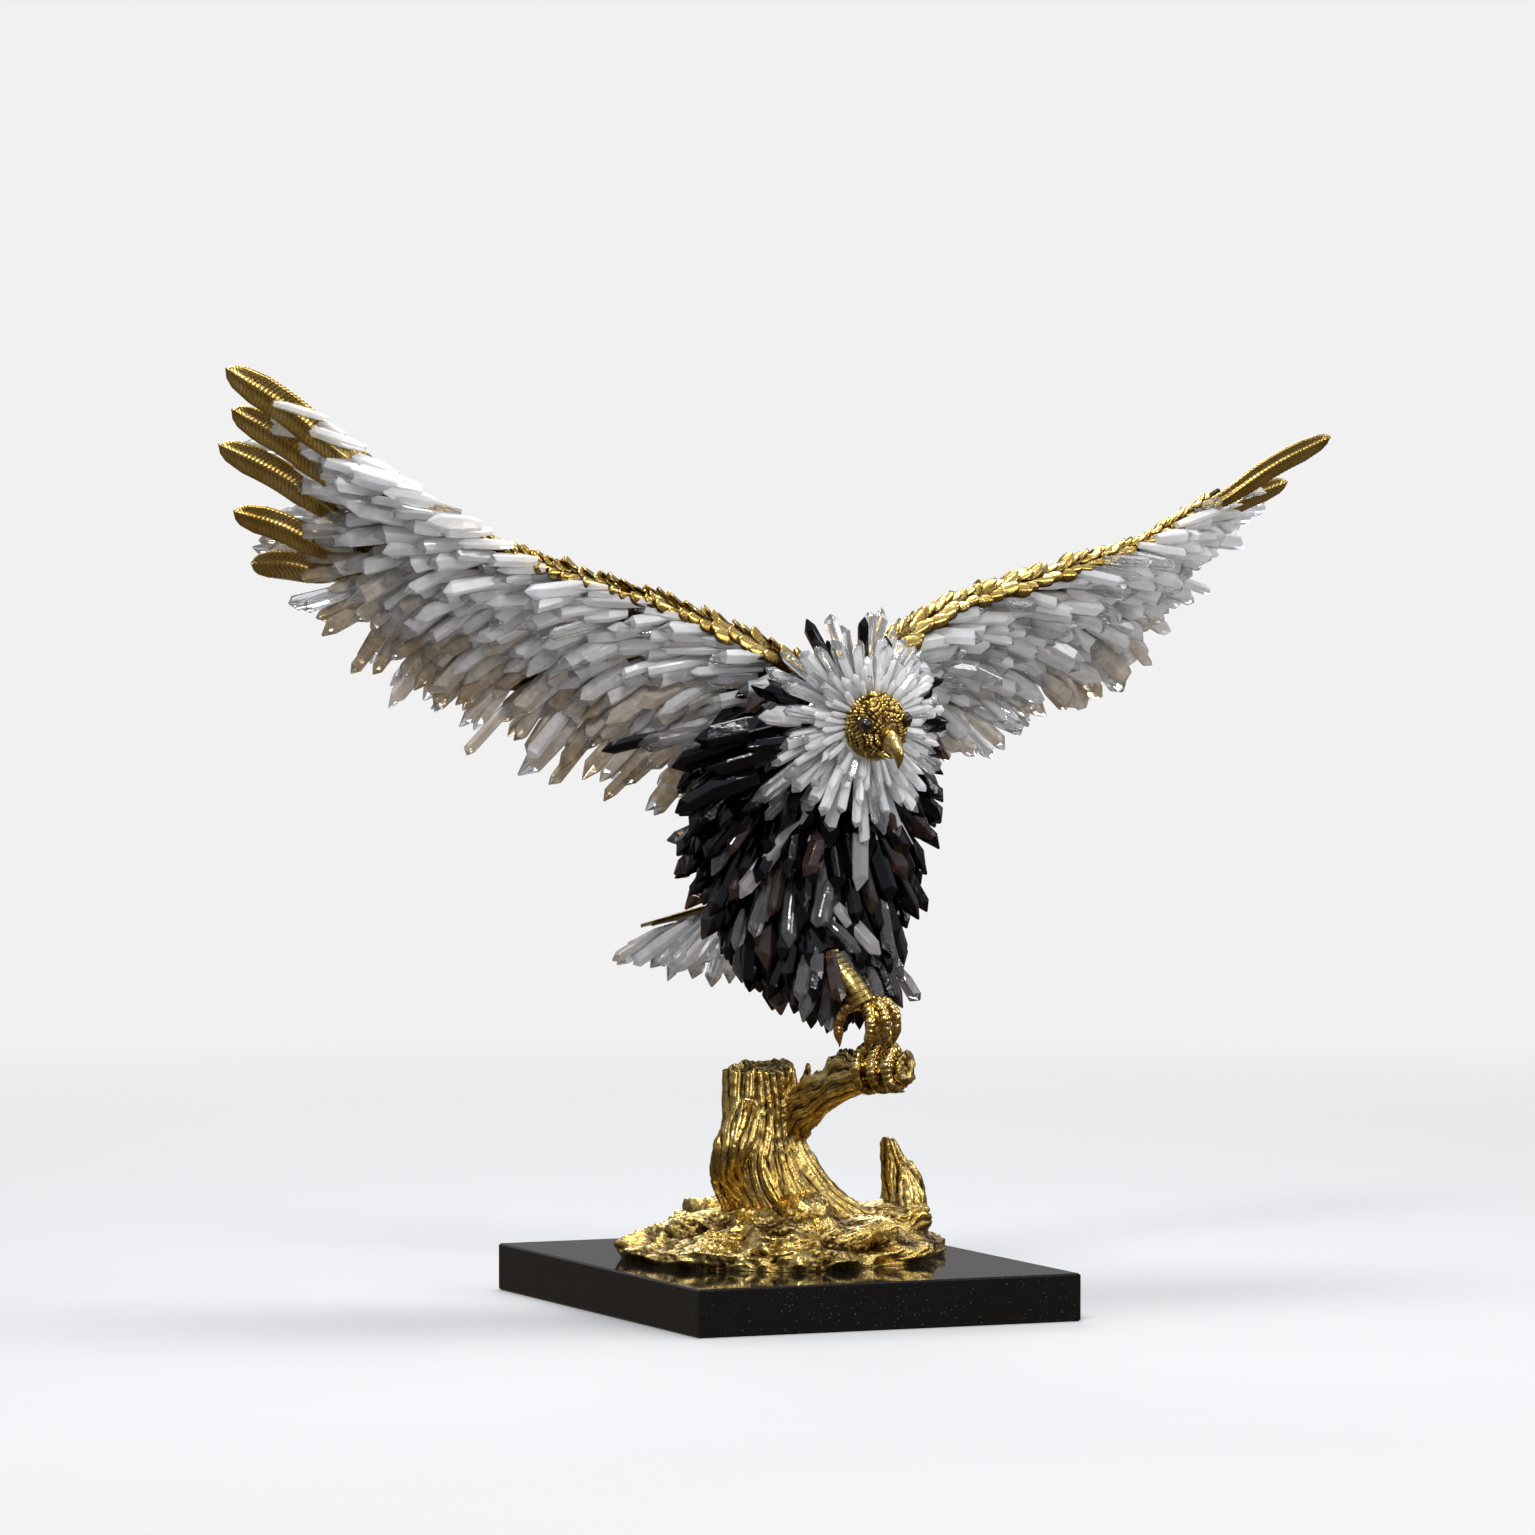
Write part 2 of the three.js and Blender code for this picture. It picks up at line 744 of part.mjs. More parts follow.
// Smoky quartz over the torso. A point that would reach a neighbour is shortened, and then left out.
function torsoQuartz(neighbours) {
  let body = torso();
  const add = (root, along, full, seed) => {
    for (const share of [1, 0.8, 0.6]) {
      const length = full * share * (0.9 + 0.3 * chance(seed + 7));
      const args = [root, along, length, CRYSTAL_RADIUS, seed];
      const room = crystal(...args, GAP);
      if (neighbours.some((n) => !room.intersect(n).isEmpty())) continue;
      body = body.add(crystal(...args));
      return;
    }
  };
  [RIGHT_THIGH, LEFT_THIGH].forEach((path, k) => {
    const knee = birdPoint(path[2]);
    for (let i = 0; i < THIGH_POINT_COUNT; i++) {
      const seed = 5900 + k * 50 + i;
      const turn = Math.PI * (1.05 + (0.9 * i) / (THIGH_POINT_COUNT - 1));
      const outward = vec(Math.cos(turn), Math.sin(turn), 0);
      const root = moved(knee, [outward, THIGH_KNEE_RADIUS * 0.5]);
      root.y += 14;
      root.z += 12 * chance(seed + 1);
      add(root, moved(outward, [vec(0, 0, -1), 1.6]), THIGH_POINT_LENGTH, seed);
    }
  });
  TORSO_ROW_HEIGHTS.forEach((height, k) => {
    const station = torsoAt(height);
    const count = TORSO_ROW_COUNTS[k];
    for (let i = 0; i < count; i++) {
      const seed = 5000 + k * 100 + i;
      const turn =
        (2 * Math.PI * (i + (k % 2) / 2 + 0.25 * chance(seed + 3))) / count;
      const root = torsoPoint(station, turn, -TORSO_ROOT_DEPTH);
      const out = 0.9 + 0.3 * chance(seed + 5);
      const along = vec(
        Math.cos(turn) * TORSO_ROW_SPREADS[k] * out,
        Math.sin(turn) * TORSO_FORWARD * out,
        -1,
      );
      add(root, along, TORSO_ROW_LENGTHS[k], seed);
    }
  });
  return body;
}

// The head's own axes: ahead, to its left, and up.
function headFrame() {
  const ahead = vec(...HEAD_FACING).normalize();
  const [up, side] = squareTo(ahead);
  const left = moved(vec(0, 0, 0), [side, -1]);
  const tilt = (v) => v.clone().applyAxisAngle(ahead, HEAD_ROLL);
  return { ahead, up: tilt(up), left: tilt(left), place: birdPoint(HEAD_PLACE) };
}

function headPoint({ ahead, up, left, place }, x, y, z) {
  return moved(place, [left, x], [ahead, y], [up, z]);
}

// A round skull with brows over the eyes and a hooked beak.
function skull(frame, grow = 0) {
  const rows = 10;
  const sides = 14;
  const rings = [[headPoint(frame, 0, -HEAD_HALF_LENGTH * 0.7 - grow, 0)]];
  for (let i = 1; i < rows; i++) {
    const slope = (Math.PI * i) / rows;
    const reach = HEAD_HALF_LENGTH * (i < rows / 2 ? 0.7 : 0.94) + grow;
    const y = -Math.cos(slope) * reach;
    rings.push(
      Array.from({ length: sides }, (_, j) => {
        const turn = (2 * Math.PI * j) / sides;
        const brow =
          2.4 *
          Math.exp(-(((Math.abs(Math.cos(turn)) - 0.62) / 0.25) ** 2)) *
          Math.exp(-((slope - 2.25) ** 2) / 0.1) *
          (Math.sin(turn) > 0.3 ? 1 : 0);
        const r = Math.sin(slope);
        return headPoint(
          frame,
          Math.cos(turn) * (r * HEAD_HALF_WIDTH + brow + grow),
          y,
          Math.sin(turn) * (r * HEAD_HALF_HEIGHT + brow + grow),
        );
      }),
    );
  }
  rings.push([headPoint(frame, 0, HEAD_HALF_LENGTH * 0.94 + grow, 0)]);
  return loft(rings);
}

function beak(frame) {
  const start = HEAD_HALF_LENGTH * 0.6;
  const upper = rod(
    [
      headPoint(frame, 0, start, -1),
      headPoint(frame, 0, start + BEAK_LENGTH * 0.55, -2),
      headPoint(frame, 0, start + BEAK_LENGTH * 0.95, -BEAK_DROP * 0.45),
      headPoint(frame, 0, start + BEAK_LENGTH * 0.9, -BEAK_DROP),
    ],
    [BEAK_ROOT, BEAK_ROOT * 0.85, BEAK_ROOT * 0.55, 0],
    { sides: 7, rows: 6 },
  );
  const lower = rod(
    [
      headPoint(frame, 0, start, -11),
      headPoint(frame, 0, start + BEAK_LENGTH * 0.4, -12.5),
      headPoint(frame, 0, start + BEAK_LENGTH * 0.6, -13),
    ],
    [BEAK_ROOT * 0.62, BEAK_ROOT * 0.5, BEAK_ROOT * 0.25],
    { sides: 6, rows: 3 },
  );
  return upper.add(lower);
}

function eyePlace(frame, side) {
  const reach = 1.02;
  return headPoint(
    frame,
    side * Math.sin(EYE_ANGLE) * HEAD_HALF_WIDTH * reach,
    Math.cos(EYE_ANGLE) * HEAD_HALF_LENGTH * 0.94 * reach,
    EYE_HEIGHT,
  );
}

function eyeball(frame, side, grow = 0) {
  const geometry = new THREE.SphereGeometry(EYE_RADIUS + grow, 8, 6);
  const centre = eyePlace(frame, side);
  geometry.translate(centre.x, centre.y, centre.z);
  return solid(geometry);
}

function head(frame) {
  return skull(frame)
    .add(beak(frame))
    .subtract(eyeball(frame, 1, GAP))
    .subtract(eyeball(frame, -1, GAP));
}

// The neck carries the ruff. Its points stand round the head like the rays of a sunflower.
function ruff(frame, neighbours) {
  const root = birdPoint(NECK_ROOT);
  const front = headPoint(frame, 0, -NECK_FRONT_BEHIND, 0);
  const middle = root.clone().lerp(front, 0.5);
  const radii = [NECK_ROOT_RADIUS, NECK_FRONT_RADIUS];
  let neck = rod([root, middle, front], radii, { sides: 10, rows: 4 });
  neck = neck.subtract(skull(frame, GAP));
  for (const n of neighbours) neck = neck.subtract(n);
  neck = largest(neck);
  const solids = [skull(frame), beak(frame), ...neighbours];
  RUFF_LAYER_DEPTHS.forEach((behind, k) => {
    const count = RUFF_COUNTS[k];
    for (let i = 0; i < count; i++) {
      const seed = 8000 + k * 100 + i;
      const turn =
        (2 * Math.PI * (i + k / 2 + 0.3 * chance(seed + 3))) / count;
      const ray = moved(
        vec(0, 0, 0),
        [frame.left, Math.cos(turn)],
        [frame.up, Math.sin(turn)],
      );
      const low = Math.max(0, -Math.sin(turn));
      const start = moved(
        frame.place,
        [frame.ahead, -behind],
        [ray, NECK_FRONT_RADIUS - RUFF_SINK_DEPTH],
      );
      const along = moved(ray, [frame.ahead, 0.45 * low - RUFF_LEANS[k]]);
      const high = Math.max(0, Math.sin(turn));
      const full =
        RUFF_LENGTHS[k] *
        (1 + 0.3 * low - 0.25 * high) *
        (0.85 + 0.3 * chance(seed + 7));
      for (const share of [1, 0.8, 0.6]) {
        const args = [start, along, full * share, RUFF_RADIUS, seed];
        const room = crystal(...args, GAP);
        if (solids.some((n) => !room.intersect(n).isEmpty())) continue;
        neck = neck.add(crystal(...args));
        break;
      }
    }
  });
  return largest(neck);
}

// A point of the tail: t runs from root to tip, w from one edge of the fan to the other.
function tailPoint(t, w, rise = 0) {
  const root = vec(...TAIL_ROOT);
  const tip = vec(...TAIL_TIP);
  const centre = root.lerp(tip, t);
  const half = mix(TAIL_ROOT_HALF, TAIL_TIP_HALF, t);
  return birdPoint([
    w * half,
    centre.y - TAIL_CURVE_BACK * w * w * t,
    centre.z + rise - TAIL_CURVE_DOWN * w * w,
  ]);
}

function tailSlab(t, w, rise) {
  const rings = [];
  for (let i = 0; i <= 4; i++) {
    const at = mix(t[0], t[1], i / 4);
    const steps = [-w, -w / 2, 0, w / 2, w];
    rings.push([
      ...steps.map((u) => tailPoint(at, u, rise[0])),
      ...steps.map((u) => tailPoint(at, u, rise[1])).reverse(),
    ]);
  }
  return loft(rings);
}

// The cast top of the tail is pleated into feathers, and each feather ends in a tip.
function tailCasting(grow = 0) {
  const steps = 2 * TAIL_FEATHERS;
  const rings = TAIL_STATIONS.map((t, row) => {
    const last = row === TAIL_STATIONS.length - 1;
    const over = Array.from({ length: steps + 1 }, (_, j) => {
      const tip = last && j % 2 ? TAIL_TIP_REACH : 0;
      const pleat = j % 2 ? TAIL_PLEAT_HEIGHT : 0;
      const w = -1 + (2 * j) / steps;
      return tailPoint(t + tip, w, TAIL_SKIN + pleat + grow);
    });
    const under = Array.from({ length: steps + 1 }, (_, j) => {
      const tip = last && j % 2 ? TAIL_TIP_REACH : 0;
      return tailPoint(t + tip, 1 - (2 * j) / steps, -grow);
    });
    return [...over, ...under];
  });
  return loft(rings);
}

function tailQuartz(casting) {
  const parts = [tailSlab([0.02, 0.82], 0.86, [-BED_THICKNESS, -BED_ROOM])];
  TAIL_ROWS.forEach((t, k) => {
    const count = TAIL_ROW_COUNTS[k];
    for (let i = 0; i < count; i++) {
      const seed = 9000 + k * 100 + i;
      const w = -0.8 + (1.6 * i) / (count - 1);
      const root = tailPoint(t, w, -1.1 * CRYSTAL_RADIUS);
      const along = vec(0.4 * w, 0.8, -TAIL_ROW_DROPS[k] - 0.2 * chance(seed));
      const length = TAIL_ROW_LENGTHS[k] * (0.85 + 0.3 * chance(seed + 7));
      parts.push(crystal(root, along, length, CRYSTAL_RADIUS * 0.9, seed));
    }
  });
  return largest(join(parts).subtract(casting));
}

// A toe tapers to its claw.
function toe(points) {
  const radii = TOE_TAPER.map((share) => share * TOE_RADIUS);
  return rod(points, radii, { sides: 5, rows: 5 });
}

function legRod(path) {
  const radii = LEG_TAPER.map((share) => share * LEG_RADIUS);
  return rod(path.map(figurePoint), radii);
}

function rightLeg() {
  const toes = RIGHT_TOES.map((path) => toe(path.map(figurePoint)));
  return join([legRod(RIGHT_LEG_PATH), ...toes]);
}

// Three toes fold over the near side of the branch and one over the far side.
function leftLeg() {
  const path = spline(BRANCH_PATH.map(figurePoint));
  const length = path.getLength();
  const ankle = figurePoint(LEFT_LEG_PATH[LEFT_LEG_PATH.length - 1]);
  const reach = BRANCH_RADIUS + TOE_RADIUS * 0.75;
  const grip = (offset, side) => {
    const u = LEFT_FOOT_SHARE + offset / length;
    const centre = path.getPointAt(u);
    const axis = path.getTangentAt(u);
    const [up, across] = squareTo(axis);
    const round = (degrees, r) => {
      const a = THREE.MathUtils.degToRad(degrees);
      return moved(
        centre,
        [across, side * Math.cos(a) * r],
        [up, Math.sin(a) * r],
      );
    };
    return toe([
      ankle,
      round(58, reach * 1.15),
      round(12, reach),
      round(-38, reach),
      round(-95, reach * 0.92),
    ]);
  };
  return join([
    legRod(LEFT_LEG_PATH),
    grip(-LEFT_TOE_SPACING, 1),
    grip(0, 1),
    grip(LEFT_TOE_SPACING, 1),
    grip(-2, -1),
  ]);
}

const palette = {
  gilt: { color: 0xb8862f, metalness: 1, roughness: 0.28 },
  clear: { color: 0xe4e6ea, metalness: 0, roughness: 0.12 },
  smoky: { color: 0x1c1a1b, metalness: 0, roughness: 0.12 },
  granite: { color: 0x121315, metalness: 0, roughness: 0.15 },
  bead: { color: 0x060606, metalness: 0, roughness: 0.08 },
};

const sculpture = new THREE.Group();
const figure = new THREE.Group();
figure.position.z = PLINTH_HEIGHT;
sculpture.add(figure);

function place(group, name, body, finish) {
  const mesh = body.simplify(SMOOTH).getMesh();
  const geometry = new THREE.BufferGeometry();
  geometry.setAttribute(
    "position",
    new THREE.BufferAttribute(new Float32Array(mesh.vertProperties), 3),
  );
  geometry.setIndex(new THREE.BufferAttribute(mesh.triVerts, 1));
  geometry.computeVertexNormals();
  const material = new THREE.MeshStandardMaterial(palette[finish]);
  const made = new THREE.Mesh(geometry, material);
  made.name = name;
  group.add(made);
}

const torsoRoom = torso(GAP);
const branchRoom = branch(GAP);
const wings = [
  ["right", wingSurface(-1, WING_RIGHT_LIFT)],
  ["left", wingSurface(1, WING_LEFT_LIFT)],
];
const nearTorso = [];
for (const [name, wing] of wings) {
  const casting = largest(wingCasting(wing).subtract(torsoRoom));
  const quartz = largest(
    wingQuartz(wing, wingCasting(wing, GAP)).subtract(torsoRoom),
  );
  place(figure, `${name}_wing_casting`, casting, "gilt");
  place(figure, `${name}_wing_quartz`, quartz, "clear");
  nearTorso.push(casting, quartz);
}

const tail = largest(tailCasting().subtract(torsoRoom));
const tailPoints = largest(tailQuartz(tailCasting(GAP)).subtract(torsoRoom));
place(figure, "tail_casting", tail, "gilt");
place(figure, "tail_quartz", tailPoints, "clear");

const raisedLeg = largest(rightLeg().subtract(torsoRoom));
const perchedLeg = largest(
  leftLeg().subtract(torsoRoom).subtract(branchRoom),
);
place(figure, "right_leg", raisedLeg, "gilt");
place(figure, "left_leg", perchedLeg, "gilt");
place(figure, "stump", stump(), "gilt");

const frame = headFrame();
const neckRuff = ruff(frame, [torsoRoom, ...nearTorso]);
place(figure, "head", head(frame), "gilt");
place(figure, "left_eye", eyeball(frame, 1), "bead");
place(figure, "right_eye", eyeball(frame, -1), "bead");
place(figure, "neck_quartz", neckRuff, "clear");

nearTorso.push(tail, tailPoints, raisedLeg, perchedLeg, neckRuff, skull(frame));
place(figure, "body_quartz", torsoQuartz(nearTorso), "smoky");
place(sculpture, "plinth", plinth(), "granite");

export default sculpture;
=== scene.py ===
"""The looks of an eagle of quartz points and gilt metal that perches on a gilt tree stump.

Shapes are worked out in millimetres above the granite slab, in the places that the CAD gives them, and become
metres when a piece's mesh is made."""

import math

import bmesh
import bpy
import numpy as np
from mathutils import Matrix, Vector


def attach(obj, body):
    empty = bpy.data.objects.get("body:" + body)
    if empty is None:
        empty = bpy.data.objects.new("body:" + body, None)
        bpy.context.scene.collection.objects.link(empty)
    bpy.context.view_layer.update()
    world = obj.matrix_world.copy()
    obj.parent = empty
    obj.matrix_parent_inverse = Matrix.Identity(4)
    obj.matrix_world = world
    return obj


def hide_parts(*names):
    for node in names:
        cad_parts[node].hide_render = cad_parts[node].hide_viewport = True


MM = 0.001
UP = np.array([0.0, 0.0, 1.0])
SLAB_HEIGHT = 40.0

# The photograph's camera: what it looks at, how far it stands, its turn and rise, and its picture's scale.
LOOK_AT = np.array([-13.5, 5.9, 453.3])
CAMERA_DISTANCE = 8000.0
CAMERA_TURN = math.radians(23.5)
CAMERA_RISE = math.radians(2.6)
CAMERA_RIGHT = np.array([math.cos(CAMERA_TURN), -math.sin(CAMERA_TURN), 0])
CAMERA_LEVEL = np.array([math.sin(CAMERA_TURN), math.cos(CAMERA_TURN), 0])
SENSOR = 36.0
PHOTO_PIXELS = 1535
PIXEL = 0.84
PICTURE_WIDTH = PHOTO_PIXELS * PIXEL

# The bird's plane of symmetry, as in the CAD.
BIRD = np.array([12.0, 28.0, 0.0])

# Wings, as in the CAD: out from the bird's middle, back, and up.
WING_LEAD = [(42, -96, 506), (123, -64, 546), (226, -55, 578), (319, -43, 614), (407, -8, 669)]
WING_CHORD = [(40, 90, -130), (55, 120, -138), (50, 140, -125), (15, 148, -128), (-20, 150, -135)]
WING_CAMBER = 12
WING_SKIN = 4
WING_LIFTS = {"right": 25, "left": -25}
WING_ROLL = (9, 7.6, 4.2, 3.4)
WING_ROLL_AT = (0, 0.45, 0.7, 1)
WING_PLATE_EDGE = 0.74
# The long feathers at the hand: the share of the chord where each starts, and its tip out, back and up.
PRIMARIES = [
    (0.06, 506, -15, 719),
    (0.22, 491, 12, 685),
    (0.4, 494, 35, 656),
    (0.6, 468, 70, 600),
    (0.7, 440, 105, 556),
]
PRIMARY_LIFT = 30
PRIMARY_SHARES = {"right": (1, 1, 1, 1, 1), "left": (1, 0.9, 0.4, 0.36, 0.34)}
PRIMARY_WIDTH = 29
PRIMARY_SLIMNESS = {"right": 1, "left": 0.72}
PRIMARY_THICK = 2.8
# Outlines of cast feathers: share of the length and share of the width.
LEAF = ((0, 0.3), (0.1, 0.62), (0.3, 0.9), (0.55, 1), (0.78, 0.93), (0.9, 0.7), (0.96, 0.45), (1, 0.06))
BLADE = ((0, 0.42), (0.2, 0.62), (0.45, 0.95), (0.8, 0.95), (0.92, 0.72), (0.97, 0.45), (1, 0.05))

# Rows of quartz points under a wing, from the leading edge to the trailing one.
WING_QUARTZ_ROWS = 11
WING_QUARTZ_PER_ROW = 25
WING_QUARTZ_RADIUS = (6.2, 10.8)
WING_QUARTZ_LENGTH = (42, 66)
# How far the points turn out along each wing, from the first row to the last.
WING_RAKE = {"right": (3.4, 0.95, 0.42, 0.15), "left": (3.6, 1.8, 1.15, 0.6)}
# Where the first row lies on the chord, from shoulder to hand. On the right hand it covers the edge.
WING_FIRST_ROW = {"right": (0.03, 0.01, -0.02, -0.07, -0.08), "left": (0.05, 0.05, 0.02, 0.01, 0.01)}
WING_FIRST_ROW_AT = (0, 0.25, 0.58, 0.7, 1)
# How much further the points turn out at the hand, and how much paler each wing is.
WING_HAND_RAKE = {"right": 1.5, "left": 0.95}
WING_PALER = {"right": 0, "left": 0.3}
# How far along the wing the first four rows run, and the rest.
WING_ROW_ENDS = {"right": (1.045, 0.985), "left": (1.06, 1.06)}
# Kinds of points from a wing's palest part to its warmest and darkest: the quartz's own tone, and painted
# shade on the lower rows. Each part ends at a value of that warmth, and a number drawn from 0 to 1 picks the
# first kind whose share it is under.
WING_KINDS = [
    (0.2, ((0.16, 1), (1, 0))),
    (0.45, ((0.2, 1), (1, 2))),
    (0.72, ((0.14, 1), (0.7, 3), (1, 2))),
    (math.inf, ((0.12, 1), (0.42, 3), (1, 4))),
]

# Small cast feathers along the leading edge, in lanes at these angles round it.
SCALE_PITCH = 11.5
SCALE_LANES = {"right": (-34, 6, 40, 74), "left": (-34, 6, 40, 74, 104)}
SCALE_SIZE = (19, 12.5)
# Rows of covering feathers on the wing's back: where each starts and ends on the chord, and how many.
COVERT_ROWS = [(0.03, 0.2, 30), (0.14, 0.34, 28), (0.28, 0.54, 25), (0.46, 0.77, 22)]

# Torso: height, place back, half width, half depth.
TORSO = np.array([
    (236, -76, 26, 22),
    (246, -71, 45, 39),
    (272, -62, 58, 53),
    (312, -54, 68, 62),
    (352, -50, 74, 66),
    (392, -52, 76, 64),
    (432, -60, 72, 54),
    (464, -70, 60, 44),
    (488, -80, 42, 34),
], float)
BODY_QUARTZ_ROWS = 13
BODY_QUARTZ_PITCH = 16.5
BODY_QUARTZ_RADIUS = (7.4, 12.0)
BODY_QUARTZ_LENGTH = (56, 80)
BODY_QUARTZ_HEIGHTS = (492, 252)
# How far the points stand off, and the share of their length, at these heights.
BODY_SPREAD = ((246, 310, 354, 398, 440, 476), (0.16, 0.32, 0.6, 1.1, 1.7, 2.3))
BODY_LENGTHS = ((246, 270, 300, 460, 490), (0.56, 0.68, 0.88, 1, 0.9))
BREAST_ROOT_PROUD = 8
BREAST_TIP_PROUD = 27
# Clear and brown points on the breast: root and tip in the photograph's pixels, radius and kind.
# A kind is a material's place in the piece's list, DARK_QUARTZ here and LIGHT_QUARTZ on wings and tail.
BREAST_POINTS = [
    ((804, 806), (738, 891), 8.0, 1),
    ((822, 822), (806, 870), 7.5, 2),
    ((859, 805), (859, 884), 8.6, 1),
    ((828, 874), (817, 919), 9.0, 3),
    ((834, 900), (879, 949), 8.6, 1),
    ((827, 915), (858, 947), 7.6, 3),
    ((879, 884), (889, 949), 7.2, 3),
    ((791, 944), (787, 977), 6.6, 1),
    ((826, 990), (830, 1025), 7.0, 1),
    ((899, 968), (918, 999), 7.4, 3),
    ((789, 788), (764, 813), 6.4, 3),
    ((705, 826), (668, 842), 8.4, 3),
    ((770, 880), (752, 930), 8.0, 3),
    ((745, 905), (735, 945), 7.6, 3),
]
# Black and clear points over the root of the right wing and behind the ruff: root and tip as pixel and place
# back, radius and kind.
SHOULDER_POINTS = [
    ((775, 724, -104), (695, 742, -84), 13.0, 0),
    ((712, 732, -84), (640, 746, -60), 10.0, 3),
    ((660, 736, -62), (603, 751, -40), 7.5, 0),
    ((775, 752, -106), (706, 772, -92), 12.0, 0),
    ((745, 742, -92), (672, 766, -72), 9.5, 0),
    ((758, 776, -104), (698, 797, -90), 10.5, 0),
    ((730, 780, -98), (676, 812, -84), 9.5, 0),
    ((796, 700, -104), (752, 684, -98), 9.0, 0),
    ((800, 722, -116), (758, 716, -112), 6.5, 1),
    ((800, 740, -112), (748, 746, -106), 8.0, 0),
    ((889, 676, -98), (884, 636, -94), 7.0, 0),
    ((912, 716, -112), (947, 724, -116), 6.5, 0),
    ((846, 668, -100), (824, 643, -96), 6.5, 0),
]
THIGHS = {
    "right": [(-14, -60, 300), (-20, -104, 272), (-16, -132, 254)],
    "left": [(22, -60, 290), (26, -96, 262), (20, -116, 240)],
}
THIGH_RADIUS = (34, 20)
THIGH_QUARTZ_LENGTH = (34, 50)
THIGH_QUARTZ_RADIUS = (5.5, 8.5)
THIGH_QUARTZ_PER_ROW = 9

# Head and ruff.
HEAD_PLACE = BIRD + (10, -158, 454)
HEAD_FACING = (0.109, -0.96, -0.259)
HEAD_ROLL = 0.09
HEAD_HALF = (27, 32, 29)
BEAK_LENGTH = 31
BEAK_ROOT = 8.6
BEAK_DROP = 22
EYE_RADIUS = 4.7
EYE_ANGLE = 0.78
EYE_HEIGHT = 9
EYELID_RADIUS = 1.1
# Rows of tufts to each radian of the skull.
TUFT_ROWS = 6.0
NECK_ROOT = BIRD + (0, -92, 446)
NECK_ROOT_RADIUS = 38
NECK_FRONT_RADIUS = 34
# Each layer of the ruff: how far behind the head's middle, its lean back, length, count and radii.
RUFF_LAYERS = [
    (0, -0.1, 23, 30, 2.6, 4.2),
    (4, -0.03, 34, 30, 3.0, 4.8),
    (9, 0.04, 46, 28, 3.4, 5.6),
    (16, 0.13, 57, 24, 4.6, 7.0),
    (24, 0.26, 66, 21, 5.2, 7.8),
    (36, 0.45, 68, 17, 5.2, 7.6),
]

# Tail.
TAIL_ROOT = (0, 0, 309)
TAIL_TIP = (0, 217, 267)
TAIL_HALF = (24, 54)
TAIL_FEATHERS = 7
# Points that hang below the tail's root: root and tip as pixel and place back, radius and kind.
TAIL_HANGING = [
    ((752, 925, 70), (746, 990, 74), 8.0, 4),
    ((742, 920, 88), (726, 986, 96), 8.4, 2),
    ((730, 922, 108), (709, 990, 118), 7.8, 1),
    ((716, 918, 130), (690, 982, 142), 8.2, 3),
    ((702, 916, 152), (664, 984, 166), 7.6, 1),
    ((694, 914, 170), (648, 972, 186), 7.4, 2),
    ((722, 916, 118), (700, 966, 128), 8.0, 0),
    ((704, 918, 146), (676, 962, 158), 7.6, 0),
    ((684, 924, 180), (632, 964, 204), 7.0, 1),
    ((740, 905, 92), (722, 955, 98), 8.0, 3),
]
TAIL_QUARTZ_LENGTH = (58, 80)
TAIL_QUARTZ_RADIUS = (6, 8.8)
# Rows of points under the tail: share of its length, and how many.
TAIL_QUARTZ_ROWS = [(0.02, 5), (0.12, 5), (0.22, 6), (0.33, 6), (0.44, 7), (0.55, 7), (0.66, 8), (0.77, 8)]

# Legs, as in the CAD. The left foot grips the branch, and the right one is raised.
LEG_RADIUS = 9.5
TOE_RADIUS = 6.2
LEG_SCUTE = 5.4
TOE_SCUTE = 4.2
RIGHT_TOE_SIZE = 0.82
LEFT_TOE_SIZE = 0.94
RIGHT_LEG = [(-8, -84, 280), (-4, -108, 258), (4, -126, 240), (12, -134, 222)]
RIGHT_TOES = [
    [(10, -134, 224), (12, -147, 217), (11, -150, 201), (9, -146, 182)],
    [(14, -134, 225), (22, -149, 220), (24, -153, 204), (23, -147, 184)],
    [(16, -132, 226), (32, -143, 222), (37, -146, 206), (36, -140, 187)],
    [(10, -133, 222), (1, -124, 218), (-3, -118, 205), (-2, -118, 186)],
]
LEFT_LEG = [(24, -72, 276), (28, -92, 240), (35, -114, 203), (39, -119, 189)]
LEFT_TOE_SPACING = 18
LEFT_TOE_SHARE = 0.85

# Stump.
BRANCH = [(2, -6, 116), (12, -44, 141), (27, -84, 158), (41, -118, 164), (49, -141, 166)]
BRANCH_RADIUS = 14
TRUNK = [(6, 0, 4), (4, 1, 34), (-13, 3, 62), (-21, 4, 90), (-22, 4, 118), (-22, 4, 144), (-22, 4, 164)]
TRUNK_RADII = (50, 42, 38, 35.5, 32, 30.5, 29)
ROCK_HALF = (134, 112)
ROCK_HEIGHT = 42
# The mound's outline from its foot up: share of its height and share of its half widths.
ROCK_PROFILE = ((0, 1), (0.28, 0.97), (0.42, 0.88), (0.66, 0.83), (0.86, 0.7), (1, 0.45), (1.02, 0.02))
